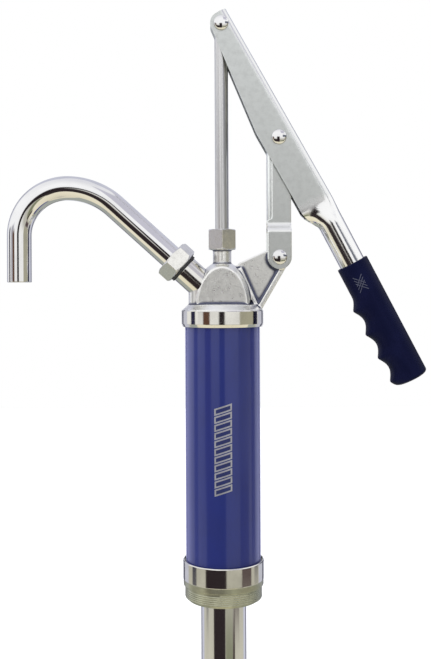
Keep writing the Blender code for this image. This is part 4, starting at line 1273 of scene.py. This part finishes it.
class PUMP_OT_spout(bpy.types.Operator):
    """Build the bent spout as a tube with a real wall and a rounded mouth"""

    bl_idname = "pump.spout"
    bl_label = "Spout"

    def execute(self, context):
        sizes = context.scene.pump_spout
        line = spout_line(sizes)
        sides = 64
        rim = 0.5 * MM

        def ring(place, heading, radius):
            sideways = Vector((0.0, 1.0, 0.0))
            crossways = sideways.cross(heading)
            points = []
            for side in range(sides):
                turn = 2 * math.pi * side / sides
                out = sideways * radius * math.cos(turn)
                points.append(place + out + crossways * radius * math.sin(turn))
            return points

        inner = sizes.radius - sizes.wall
        mouth, down = line[-1]
        rings = [ring(place, heading, sizes.radius) for place, heading in line[:-1]]
        rings.append(ring(mouth - down * (rim + SUPPORT), down, sizes.radius))
        for step in range(9):
            turn = math.pi * step / 8
            radius = (sizes.radius + inner) / 2 + (sizes.wall / 2) * math.cos(turn)
            rings.append(ring(mouth - down * rim * (1 - math.sin(turn)), down, radius))
        rings += [ring(place, heading, inner) for place, heading in reversed(line[:-1])]
        rings.append(rings[0])
        mesh = skin("spout_pipe", rings, 60.0)
        add_piece("spout_pipe", mesh, finish("chrome_tube"), "spout", ["spout_tube"])
        return {"FINISHED"}


# ---------------------------------------------------------------- rod


class PUMP_OT_rod(bpy.types.Operator):
    """Build the bright piston rod with its round end and cross hole"""

    bl_idname = "pump.rod"
    bl_label = "Piston rod"

    def execute(self, context):
        steps = 16
        crown = []
        for step in range(steps + 1):
            turn = math.pi / 2 * step / steps
            crown.append((ROD_RADIUS * math.sin(turn), ROD_PIN_HEIGHT + ROD_RADIUS * math.cos(turn)))
        shank = rounded(
            [
                (ROD_RADIUS, ROD_PIN_HEIGHT - 0.5 * MM, 0.0),
                (ROD_RADIUS, ROD_LOW + 1.0 * MM, 0.3 * MM),
                (ROD_RADIUS - 1.0 * MM, ROD_LOW, 0.3 * MM),
                (0.0, ROD_LOW, 0.0),
            ],
            closed=False,
        )
        outline = [(0.0, ROD_TOP), *crown[1:], *shank]
        rod = new_object("bright_rod", lathe("bright_rod", outline, 96))
        ends = [(0.0, side * 10 * MM, ROD_PIN_HEIGHT) for side in (-1, 1)]
        cut(rod, cylinder_mesh("cross_hole", PIN_HOLE, *ends))
        smooth(rod.data, 40.0)
        dress(rod, finish("ground_rod"), "plunger", ["piston_rod"])
        return {"FINISHED"}


# ---------------------------------------------------------------- lever


HANDLE_AXIS = -1.8 * MM  # height of the handle tube's axis where it starts
HANDLE_DROOP = math.radians(1.83)  # of that axis under the lever's
HANDLE_END = 300.0 * MM
GRIP_START = 213.0 * MM


def channel_half(sizes, low):
    """Front half of the open channel's section, from the cheek's edge to the web's middle."""
    corner_y = sizes.corner - sizes.half_width
    corner_n = sizes.web - sizes.corner
    points = []
    cheek_steps = 14
    for step in range(cheek_steps):
        points.append((-sizes.half_width, low + (corner_n - low) * step / cheek_steps))
    points += arc((corner_y, corner_n), sizes.corner, 180, 90, 9)
    points += [(corner_y / 2, sizes.web), (0.0, sizes.web)]
    return points


def tube_half(sizes, axis, channel):
    """The same points rolled round the handle tube, spaced as they are along the channel."""
    runs = [0.0]
    for point, follower in zip(channel, channel[1:]):
        runs.append(runs[-1] + math.dist(point, follower))
    points = []
    for run in runs:
        turn = math.pi * run / runs[-1]
        points.append((-sizes.tube_radius * math.sin(turn), axis - sizes.tube_radius * math.cos(turn)))
    points[-1] = (0.0, points[-1][1])
    return points


def cheek_edge(sizes, along):
    """Height of the cheek's free edge: round about the rod pin, then deeper to the middle."""
    if along < 0.0:
        return -math.sqrt(max(0.0, sizes.end_radius**2 - along**2))
    share = min(1.0, along / sizes.deep_at)
    return -sizes.end_radius + (sizes.end_radius - sizes.depth) * share


def lever_section(sizes, along):
    """The lever's section at a place along it, from one cheek's edge round to the other's."""
    channel = channel_half(sizes, cheek_edge(sizes, along))
    axis = HANDLE_AXIS - math.tan(HANDLE_DROOP) * max(0.0, along - sizes.swage_end)
    tube = tube_half(sizes, axis, channel)
    half = []
    for index, (open_point, shut_point) in enumerate(zip(channel, tube)):
        edge_share = 1.0 - index / (len(channel) - 1)
        share = smooth_step(along, sizes.swage_start + 3.0 * MM * edge_share, sizes.swage_end)
        pairs = zip(open_point, shut_point)
        half.append([first * (1 - share) + second * share for first, second in pairs])
    half[0][0] = min(half[0][0], -0.15 * MM)
    mirrored = [(-across, height) for across, height in reversed(half[:-1])]
    return [(along, across, height) for across, height in [*half, *mirrored]]


class PUMP_OT_lever(bpy.types.Operator):
    """Build the pressed lever: an open channel that closes to a round tube"""

    bl_idname = "pump.lever"
    bl_label = "Lever"

    def execute(self, context):
        sizes = context.scene.pump_lever
        end = sizes.end_radius
        places = [-end * math.cos(math.pi / 2 * step / 12) for step in range(13)]
        place = 4.0 * MM
        while place < sizes.swage_start:
            places.append(place)
            place += 4.0 * MM
        place = sizes.swage_start
        while place < sizes.swage_end + 3.0 * MM:
            places.append(place)
            place += 0.8 * MM
        while place < HANDLE_END:
            places.append(place)
            place += 6.0 * MM
        places.append(HANDLE_END)
        shape = bmesh.new()
        rows = [[shape.verts.new(point) for point in lever_section(sizes, along)] for along in places]
        for row, after in zip(rows, rows[1:]):
            for index in range(len(row) - 1):
                shape.faces.new((row[index], after[index], after[index + 1], row[index + 1]))
        lever = pressed("lever_pressing", shape, sizes.sheet, even=True)
        for where in ((0.0, 0.0), rivet_on_lever()):
            ends = [(where[0], side * 12 * MM, where[1]) for side in (-1, 1)]
            cut(lever, cylinder_mesh("pin_hole", PIN_HOLE, *ends), "EXACT")
        bend, swage = sizes.web - sizes.corner, sizes.swage_start

        # the channel's top bend is glossier and lightened as a painted highlight; past the swage the
        # lever is glossier and lighter too
        def polish_and_highlight_at(place):
            handle = smooth_step(place.x, swage - 4.0 * MM, swage + 3.0 * MM)
            return max(handle, 0.7 * smooth_step(place.z, bend, bend + 2.0 * MM))

        store_polish_and_highlight(lever.data, polish_and_highlight_at)
        lever.data.transform(LEVER_FRAME)
        dress(lever, finish("zinc_sheet"), "hand_lever", ["lever"])
        return {"FINISHED"}


def rivet_on_lever():
    """The link pin's place along and across the lever."""
    local = LEVER_FRAME.inverted() @ Vector((RIVET.x, 0.0, RIVET.z))
    return (local.x, local.z)


# ---------------------------------------------------------------- grip


FINGER_FIRST = 34.4 * MM  # the first ridge's place along the grip
GRIP_SIDES = 96


def grip_frame(sizes):
    """The grip's own axis, which droops a little from the lever's."""
    drop = HANDLE_AXIS - math.tan(HANDLE_DROOP) * (GRIP_START - sizes.swage_end)
    start = Matrix.Translation((GRIP_START, 0.0, drop))
    return LEVER_FRAME @ start @ Matrix.Rotation(HANDLE_DROOP, 4, "Y")


def finger_height(sizes, along):
    """How far the grip stands out under the fingers: round valleys between narrow ridges."""
    first = FINGER_FIRST - sizes.finger_pitch / 2
    last = FINGER_FIRST + (sizes.finger_count - 0.5) * sizes.finger_pitch
    if along < first or along > last:
        return 0.0
    phase = math.pi * (along - FINGER_FIRST) / sizes.finger_pitch
    ridge = 1.0 - math.sqrt(math.sin(phase) ** 2 + 0.012) / math.sqrt(1.012)
    return sizes.finger_rise * ridge


def plain_ring(along, radius):
    """A round ring of the grip."""
    turns = [2 * math.pi * side / GRIP_SIDES for side in range(GRIP_SIDES)]
    return [(along, radius * math.sin(turn), -radius * math.cos(turn)) for turn in turns]


def grip_ring(sizes, along, inset=0.0):
    """A ring of the grip: round above, and pushed out below where the fingers go."""
    radius = sizes.grip_radius - inset
    points = []
    for _, across, up in plain_ring(along, radius):
        if up < 0.0:
            up -= finger_height(sizes, along) * (-up / radius) ** 1.3
        points.append((along, across, up))
    return points


class PUMP_OT_grip(bpy.types.Operator):
    """Build the rubber grip with its finger ridges and a plain raised lattice"""

    bl_idname = "pump.grip"
    bl_label = "Grip"

    def execute(self, context):
        sizes = context.scene.pump_lever
        bore = sizes.tube_radius + FIT
        end = sizes.grip_length
        rim = 0.7 * MM
        tail = 3.2 * MM
        depth = HANDLE_END - GRIP_START + 1.0 * MM
        inside = ((depth, 0.0), (depth, bore), (0.4 * MM, bore), (0.0, bore + 0.3 * MM))
        rings = [plain_ring(along, radius) for along, radius in inside]
        for step in range(6):
            turn = math.pi / 2 * step / 5
            rings.append(grip_ring(sizes, rim * (1 - math.cos(turn)), rim * (1 - math.sin(turn))))
        along = rim + SUPPORT
        while along < end - tail:
            rings.append(grip_ring(sizes, along))
            along += 0.6 * MM
        for step in range(9):
            turn = math.pi / 2 * step / 8
            inset = tail * (1 - math.cos(turn))
            rings.append(grip_ring(sizes, end - tail + tail * 0.8 * math.sin(turn), inset))
        for step in range(1, 8):
            share = step / 7
            radius = (sizes.grip_radius - tail) * (1 - share)
            bulge = tail * (0.8 + 0.2 * (1 - (1 - share) ** 2))
            rings.append(plain_ring(end - tail + bulge, radius))
        mesh = skin("rubber_grip", rings, 50.0)
        place = grip_frame(sizes)
        look = finish("grip_rubber")
        add_piece("rubber_grip", mesh, look, "hand_lever", ["handle_grip"], place)

        upright = Matrix.Rotation(math.radians(90), 4, "Y")
        stand = place @ upright @ Matrix.Rotation(math.radians(14), 4, "Z")
        tree = wrapped_bars_tree()
        for name, slant in (("grip_lattice_rising", 1.0), ("grip_lattice_falling", -1.0)):
            values = {
                "Radius": sizes.grip_radius,
                "Thickness": 0.35 * MM,
                "Width": 7.5 * MM,
                "Height": 0.7 * MM,
                "Pitch": 2.6 * MM,
                "Slant": slant,
                "Middle": 16.5 * MM,
                "Count": 3,
                "Finish": finish("grip_mark"),
            }
            lattice = grown(name, tree, values)
            lattice.data.transform(stand)
            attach(lattice, "hand_lever")
        return {"FINISHED"}


# ---------------------------------------------------------------- link


LINK_HALF = 9.35 * MM
NECK_HALF = 5.0 * MM
FORK_HALF = 9.6 * MM
JOGGLE_LOW, JOGGLE_HIGH = 19.5 * MM, 27.0 * MM
TIP_RISE = 1.8 * MM
BEND_WIDTH = 3.6 * MM
BACK_TAPER, FRONT_TAPER = 82.0 * MM, 70.0 * MM  # heights where the link's edges start to draw in


def cheek_limits(up):
    """The link cheek's left and right edge at a height over the lug pin."""
    tip = LINK_LENGTH + TIP_RISE
    if up < 0.0:
        half = math.sqrt(max(0.0, LINK_HALF**2 - up**2))
        return (-half, half)
    back_share = max(0.0, up - BACK_TAPER) / (tip - BACK_TAPER)
    front_share = max(0.0, up - FRONT_TAPER) / (tip - FRONT_TAPER)
    left = -LINK_HALF + back_share * (LINK_HALF - 2.0 * MM)
    left += BEND_WIDTH * smooth_step(up, JOGGLE_HIGH + 1.5 * MM, JOGGLE_HIGH + 3.5 * MM)
    right = LINK_HALF - front_share * (LINK_HALF - 4.0 * MM)
    return (left, right)


def joggle_polish_and_highlight(place):
    """How polished the link is and how far it is lightened as a painted highlight: on its joggle only.
    """
    above = smooth_step(place.z, JOGGLE_LOW - 1.0 * MM, JOGGLE_LOW + 1.5 * MM)
    over = smooth_step(place.z, JOGGLE_HIGH - 1.5 * MM, JOGGLE_HIGH + 1.0 * MM)
    return 0.8 * above * (1.0 - over)


def cheek_mesh(side, sheet):
    """One pressed cheek of the link, with its joggle, as a closed sheet."""
    tip = LINK_LENGTH + TIP_RISE
    heights = [-LINK_HALF * math.cos(math.pi / 2 * step / 14) for step in range(14)]
    heights += [2.0 * MM * step for step in range(int(tip / (2.0 * MM)) + 1)]
    heights += [JOGGLE_LOW + 0.5 * MM * step for step in range(-4, 20)]
    heights = sorted({round(height, 7) for height in heights if height < tip - 0.1 * MM} | {tip})
    shape = bmesh.new()
    columns = 12
    rows = []
    for up in heights:
        left, right = cheek_limits(up)
        share = smooth_step(up, JOGGLE_LOW, JOGGLE_HIGH)
        out = FORK_HALF + (NECK_HALF - FORK_HALF) * share
        row = []
        for column in range(columns + 1):
            across = left + (right - left) * column / columns
            row.append(shape.verts.new((across, side * out, up)))
        rows.append(row)
    for row, after in zip(rows, rows[1:]):
        for column in range(columns):
            corners = (row[column], row[column + 1], after[column + 1], after[column])
            shape.faces.new(corners if side < 0 else tuple(reversed(corners)))
    cheek = pressed("link_cheek", shape, sheet)
    ends = [(0.0, step * 14 * MM, 0.0) for step in (-1, 1)]
    cut(cheek, cylinder_mesh("lug_pin_hole", PIN_HOLE, *ends), "EXACT")
    smooth(cheek.data, 40.0)
    store_polish_and_highlight(cheek.data, joggle_polish_and_highlight)
    mesh = cheek.data
    bpy.data.objects.remove(cheek)
    return mesh


def link_web_mesh(sheet):
    """The link's back, between its two cheeks, with rounded bends."""
    low = JOGGLE_HIGH + 2.0 * MM
    side = NECK_HALF - 0.25 * MM
    lap = -LINK_HALF + BEND_WIDTH + 1.0 * MM
    corners = [
        (lap, -side, 0.0),
        (-LINK_HALF, -side, 3.2 * MM),
        (-LINK_HALF, side, 3.2 * MM),
        (lap, side, 0.0),
        (lap, side - sheet, 0.0),
        (-LINK_HALF + sheet, side - sheet, 1.2 * MM),
        (-LINK_HALF + sheet, sheet - side, 1.2 * MM),
        (lap, sheet - side, 0.0),
    ]
    outline = rounded(corners, closed=False)
    shift = LINK_HALF - 2.0 * MM
    tip = LINK_LENGTH + TIP_RISE - 0.3 * MM
    rows = []
    shape = bmesh.new()
    for up, offset in ((low, 0.0), (BACK_TAPER, 0.0), (tip, shift)):
        rows.append([shape.verts.new((across + offset, sideways, up)) for across, sideways in outline])
    bridge(shape, rows)
    close_ends(shape, rows)
    return closed_shape("link_back", shape)


class PUMP_OT_link(bpy.types.Operator):
    """Build the pressed link: a narrow channel above and a fork below"""

    bl_idname = "pump.link"
    bl_label = "Link"

    def execute(self, context):
        sheet = context.scene.pump_lever.sheet
        parts = [cheek_mesh(-1, sheet), cheek_mesh(1, sheet), link_web_mesh(sheet)]
        mesh = joined("pressed_link", parts)
        link = new_object("pressed_link", mesh)
        link.data.transform(LINK_FRAME)
        dress(link, finish("zinc_sheet"), "swing_link", ["link"])
        return {"FINISHED"}


# ---------------------------------------------------------------- pins


PIN_NODES = {
    "rod_pin": "hand_lever",
    "rod_pin_cap": "hand_lever",
    "pivot_rivet_front": "hand_lever",
    "pivot_rivet_back": "hand_lever",
    "lug_pin": "swing_link",
    "lug_pin_cap": "swing_link",
}


def pin_mesh(name, sizes, seat, tail):
    """A domed pin head on its shank, along +Z; a tail beyond the seat makes a blind cap."""
    points = [(0.0, seat + sizes.pin_rise)]
    steps = 12
    lip = 0.5 * MM
    for step in range(1, steps + 1):
        turn = math.pi / 2 * step / steps
        height = seat + lip + (sizes.pin_rise - lip) * math.cos(turn)
        points.append((sizes.pin_radius * math.sin(turn), height))
    points += [(sizes.pin_radius, seat + 0.1 * MM), (sizes.pin_radius - 0.1 * MM, seat)]
    hole = PIN_HOLE if tail > seat else 3.0 * MM
    points += [(hole, seat), (hole, tail), (0.0, tail)]
    return lathe(name, points, 64, 50.0)


class PUMP_OT_pins(bpy.types.Operator):
    """Build the domed pin heads, their shanks and caps"""

    bl_idname = "pump.pins"
    bl_label = "Pins"

    def execute(self, context):
        sizes = context.scene.pump_lever
        for node, body in PIN_NODES.items():
            low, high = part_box(node)
            cap = node.endswith("_cap")
            front = low.y + high.y < 0.0 and not cap
            crown = -low.y if front else high.y
            seat = crown - sizes.pin_rise
            tail = seat + 1.5 * MM if cap else -(high.y if front else -low.y)
            mesh = pin_mesh(node + "_head", sizes, seat, tail)
            turn = Matrix.Rotation(math.radians(90 if front else -90), 4, "X")
            middle = middle_of(node)
            place = Matrix.Translation((middle.x, 0.0, middle.z)) @ turn
            add_piece(node + "_dome", mesh, finish("chrome_tube"), body, [node], place)
        return {"FINISHED"}


# ---------------------------------------------------------------- suction tubes


class PUMP_OT_suction(bpy.types.Operator):
    """Build the telescoping suction tubes, their collars and the strainer"""

    bl_idname = "pump.suction"
    bl_label = "Suction tubes"

    def execute(self, context):
        sizes = context.scene.pump_tubes
        tubes = {
            "outer_suction_tube": ("pump_body", sizes.outer_wall),
            "middle_suction_tube": ("middle_tube", sizes.inner_wall),
            "inner_suction_tube": ("inner_tube", sizes.inner_wall),
        }
        for node, (body, wall) in tubes.items():
            low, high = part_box(node)
            radius = radius_of(node)
            mesh = lathe(node + "_bright", sleeve(radius - wall, radius, low.z, high.z, 0.3 * MM))
            add_piece(node + "_bright", mesh, finish("drawn_chrome"), body, [node])
        collars = {
            "outer_tube_collar": ("pump_body", "outer_suction_tube", "middle_suction_tube"),
            "middle_tube_collar": ("middle_tube", "middle_suction_tube", "inner_suction_tube"),
        }
        for node, (body, holder, slider) in collars.items():
            low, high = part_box(node)
            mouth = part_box(holder)[0].z - 0.3 * MM
            outer = radius_of(node)
            passage, seat = radius_of(slider) + FIT, radius_of(holder) + FIT
            outline = rounded(
                [
                    (outer - 0.4 * MM, high.z, 0.4 * MM),
                    (outer, high.z - 0.8 * MM, 0.4 * MM),
                    (outer, low.z, 0.7 * MM),
                    (passage, low.z, 0.3 * MM),
                    (passage, mouth, 0.1 * MM),
                    (seat, mouth, 0.1 * MM),
                    (seat, high.z, 0.2 * MM),
                ]
            )
            mesh = lathe(node + "_turned", outline)
            add_piece(node + "_turned", mesh, finish("polished_nickel"), body, [node])
        low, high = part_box("foot_strainer")
        radius = radius_of("foot_strainer")
        socket = radius_of("inner_suction_tube") + FIT
        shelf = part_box("inner_suction_tube")[0].z - 0.3 * MM
        floor = low.z + 2.0 * MM
        outline = rounded(
            [
                (0.0, floor, 0.0),
                (socket - 1.2 * MM, floor, 0.2 * MM),
                (socket - 1.2 * MM, shelf, 0.1 * MM),
                (socket, shelf, 0.1 * MM),
                (socket, high.z, 0.2 * MM),
                (radius, high.z, 0.6 * MM),
                (radius, low.z, 1.2 * MM),
                (0.0, low.z, 0.0),
            ],
            closed=False,
        )
        slot_low, slot_high = floor + 1.5 * MM, shelf - 2.0 * MM
        values = {
            "Slots": sizes.slot_count,
            "Slot Size": (12.0 * MM, sizes.slot_width, slot_high - slot_low),
            "Height": (slot_low + slot_high) / 2,
            "Finish": finish("polished_nickel"),
        }
        body = lathe("slotted_strainer", outline, 96)
        strainer = grown("slotted_strainer", slotted_tree(), values, body)
        smooth(strainer.data, 35.0)
        dress(strainer, finish("polished_nickel"), "inner_tube", ["foot_strainer"])
        return {"FINISHED"}


# ---------------------------------------------------------------- carried-over nodes


INNER_FINISHES = {
    "brass": "valve_brass",
    "black_rubber": "seal_rubber",
    "fibre": "gasket_fibre",
}


class PUMP_OT_inner_parts(bpy.types.Operator):
    """Give the piston, valves, seals and gaskets of the frame their finishes"""

    bl_idname = "pump.inner_parts"
    bl_label = "Inner parts"

    def execute(self, context):
        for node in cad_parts.values():
            if node.hide_render:
                continue
            look = INNER_FINISHES[node.material_slots[0].material.name]
            node.material_slots[0].link = "OBJECT"
            node.material_slots[0].material = finish(look)
        return {"FINISHED"}


# ---------------------------------------------------------------- stage


# Reflections of the studio: a colour for each elevation, in degrees, all round
STUDIO_TONES = (
    (-90.0, (0.55, 0.52, 0.45)),
    (-80.0, (0.80, 0.74, 0.56)),
    (-55.0, (0.88, 0.81, 0.61)),
    (-30.0, (0.93, 0.87, 0.68)),
    (-19.0, (0.58, 0.56, 0.46)),
    (-10.0, (0.54, 0.52, 0.46)),
    (-2.0, (0.92, 0.91, 0.87)),
    (8.0, (1.02, 1.02, 1.02)),
    (32.0, (1.06, 1.06, 1.06)),
    (60.0, (0.94, 0.94, 0.95)),
    (76.0, (0.86, 0.86, 0.90)),
    (90.0, (0.84, 0.84, 0.88)),
)

# Upright cards round the pump: azimuth from the front, half width, middle and half height, colour
STUDIO_CARDS = (
    (180.0, 62.0, 24.0, 50.0, (0.62, 0.63, 0.72)),
    (36.0, 20.0, 44.0, 15.0, (0.63, 0.62, 0.70)),
    (98.0, 46.0, 53.0, 7.0, (0.63, 0.62, 0.70)),
    (73.0, 24.0, 1.0, 11.0, (0.42, 0.40, 0.30)),
    (-60.0, 13.0, 5.0, 6.0, (0.45, 0.44, 0.48)),
    (88.0, 62.0, 11.5, 7.0, (0.13, 0.14, 0.18)),
    (180.0, 92.0, -48.0, 22.0, (0.40, 0.42, 0.38)),
    (-22.0, 30.0, -22.0, 13.0, (0.03, 0.022, 0.024)),
    (28.0, 18.0, -25.0, 6.5, (0.24, 0.25, 0.16)),
    (-46.0, 10.0, -3.0, 9.0, (0.12, 0.06, 0.04)),
    (-2.0, 8.0, -3.0, 10.0, (0.02, 0.014, 0.016)),
    (-91.0, 8.0, -4.0, 14.0, (0.025, 0.025, 0.06)),
    (106.0, 9.0, -3.0, 13.0, (0.025, 0.025, 0.06)),
    (69.0, 16.0, -14.5, 4.0, (0.10, 0.07, 0.07)),
    (52.0, 6.0, -26.0, 7.5, (0.05, 0.03, 0.03)),
    (150.0, 6.0, -4.0, 30.0, (0.06, 0.06, 0.09)),
    (-150.0, 6.0, -4.0, 30.0, (0.06, 0.06, 0.09)),
    (178.0, 9.0, -8.0, 16.0, (0.03, 0.03, 0.04)),
)
CARD_EDGE = 2.0  # softness of a card's edge, in degrees


def card_mask(tree, value, middle, half, wraps):
    """1 within half of the middle and 0 beyond it, with a soft edge."""
    offset = tree_math(tree, "SUBTRACT", value, middle)
    if wraps:
        offset = tree_math(tree, "WRAP", offset, 180.0, -180.0)
    fed = {
        "Value": tree_math(tree, "ABSOLUTE", offset),
        "From Min": half - CARD_EDGE,
        "From Max": half + CARD_EDGE,
        "To Min": 1.0,
        "To Max": 0.0,
    }
    edge = add_node(tree, "ShaderNodeMapRange", fed, interpolation_type="SMOOTHSTEP")
    return edge.outputs["Result"]


def studio_world():
    """A white room to look at, whose reflections and light come from tones and cards."""
    world = bpy.data.worlds.new("studio")
    world.use_nodes = True
    tree = world.node_tree
    background = tree.nodes["Background"]
    direction = add_node(tree, "ShaderNodeTexCoord").outputs["Generated"]
    parts = add_node(tree, "ShaderNodeSeparateXYZ", {"Vector": direction}).outputs
    forward = tree_math(tree, "MULTIPLY", parts["Y"], -1.0)
    azimuth = tree_math(tree, "DEGREES", tree_math(tree, "ARCTAN2", parts["X"], forward))
    elevation = tree_math(tree, "DEGREES", tree_math(tree, "ARCSINE", parts["Z"]))
    climb = spread_value(tree, elevation, -90.0, 90.0, 0.0, 1.0)
    tones = add_node(tree, "ShaderNodeValToRGB", {"Fac": climb})
    stops = tones.color_ramp.elements
    for index, (height, tone) in enumerate(STUDIO_TONES):
        share = (height + 90.0) / 180.0
        stop = stops[index] if index < 2 else stops.new(share)
        stop.position = share
        stop.color = opaque(tone)
    colour_now = tones.outputs["Color"]
    for middle, half, height, half_height, tone in STUDIO_CARDS:
        across = card_mask(tree, azimuth, middle, half, True)
        up = card_mask(tree, elevation, height, half_height, False)
        card = tree_math(tree, "MULTIPLY", across, up)
        colour_now = mix_colours(tree, card, colour_now, opaque(tone))
    seen = add_node(tree, "ShaderNodeLightPath").outputs["Is Camera Ray"]
    shown = mix_colours(tree, seen, colour_now, opaque((1.0, 1.0, 1.0)))
    tree.links.new(shown, background.inputs["Color"])
    return world


CAMERA_PLACE = (-5.3 * MM, -0.77, 0.233)
CAMERA_LENS = 53.6
CAMERA_SHIFT = -0.066  # keeps upright lines upright with the camera above the middle
CAMERA_ROLL = 0.26  # degrees
SOFT_LIGHT = (2.6, 70.0, 38.0, -22.0)  # strength, then its size and its two tilts in degrees
FLOOR_HALF = 8.0
DRAWN_OUT = 510.0 * MM  # how much lower the suction tube reaches when it is drawn out


class PUMP_OT_stage(bpy.types.Operator):
    """Set up the pale floor, the soft light, the studio's reflections and the camera"""

    bl_idname = "pump.stage"
    bl_label = "Stage"

    def execute(self, context):
        scene = context.scene
        scene.view_settings.view_transform = "Standard"
        scene.world = studio_world()
        low = CAD_BOX[0].z - DRAWN_OUT - 0.5 * MM
        shape = bmesh.new()
        for x, y in ((-1, -1), (1, -1), (1, 1), (-1, 1)):
            shape.verts.new((x * FLOOR_HALF, y * FLOOR_HALF, low))
        shape.faces.new(shape.verts)
        mesh = bpy.data.meshes.new("studio_floor")
        shape.to_mesh(mesh)
        shape.free()
        floor = new_object("studio_floor", mesh)
        floor.visible_glossy = False
        material = bpy.data.materials.new("studio_floor")
        material.use_nodes = True
        shader = material.node_tree.nodes["Principled BSDF"]
        shader.inputs["Base Color"].default_value = opaque(scene.pump_colours.backdrop)
        shader.inputs["Roughness"].default_value = 0.9
        shader.inputs["Specular IOR Level"].default_value = 0.0
        floor.data.materials.append(material)

        strength, *degrees = SOFT_LIGHT
        width, pitch, roll = (math.radians(value) for value in degrees)
        sun = bpy.data.lights.new("soft_light", "SUN")
        sun.energy = strength
        sun.angle = width
        lamp = bpy.data.objects.new("soft_light", sun)
        lamp.rotation_euler = (pitch, roll, 0.0)
        lamp.visible_glossy = False
        scene.collection.objects.link(lamp)

        camera = bpy.data.cameras.new("camera")
        camera.lens = CAMERA_LENS
        camera.sensor_width = 36.0
        camera.shift_y = CAMERA_SHIFT
        camera.clip_start = 0.05
        view = bpy.data.objects.new("camera", camera)
        view.location = CAMERA_PLACE
        view.rotation_euler = (math.radians(90.0), math.radians(CAMERA_ROLL), 0.0)
        scene.collection.objects.link(view)
        scene.camera = view
        return {"FINISHED"}


# ---------------------------------------------------------------- panel and registration


OPERATORS = (
    PUMP_OT_barrel,
    PUMP_OT_adapter,
    PUMP_OT_head,
    PUMP_OT_nuts,
    PUMP_OT_spout,
    PUMP_OT_rod,
    PUMP_OT_lever,
    PUMP_OT_grip,
    PUMP_OT_link,
    PUMP_OT_pins,
    PUMP_OT_suction,
    PUMP_OT_inner_parts,
    PUMP_OT_stage,
)

SETTINGS = {
    "pump_barrel": BarrelSizes,
    "pump_head": HeadSizes,
    "pump_nuts": NutSizes,
    "pump_spout": SpoutSizes,
    "pump_lever": LeverSizes,
    "pump_tubes": TubeSizes,
    "pump_colours": FinishColours,
}


class PUMP_PT_panel(bpy.types.Panel):
    """Sizes, colours and build steps of the pump"""

    bl_idname = "PUMP_PT_panel"
    bl_label = "Drum pump"
    bl_space_type = "VIEW_3D"
    bl_region_type = "UI"
    bl_category = "Drum pump"

    def draw(self, context):
        layout = self.layout
        for name, group in SETTINGS.items():
            box = layout.box()
            box.label(text=group.__doc__)
            for value in group.__annotations__:
                box.prop(getattr(context.scene, name), value)
        for operator in OPERATORS:
            layout.operator(operator.bl_idname)


def register():
    for group in SETTINGS.values():
        bpy.utils.register_class(group)
    for name, group in SETTINGS.items():
        setattr(bpy.types.Scene, name, PointerProperty(type=group))
    for operator in OPERATORS:
        bpy.utils.register_class(operator)
    bpy.utils.register_class(PUMP_PT_panel)


def unregister():
    bpy.utils.unregister_class(PUMP_PT_panel)
    for operator in reversed(OPERATORS):
        bpy.utils.unregister_class(operator)
    for name, group in SETTINGS.items():
        delattr(bpy.types.Scene, name)
        bpy.utils.unregister_class(group)


def main():
    register()
    for operator in OPERATORS:
        step = getattr(bpy.ops.pump, operator.bl_idname.split(".")[1])
        step()


if __name__ == "__main__":
    main()
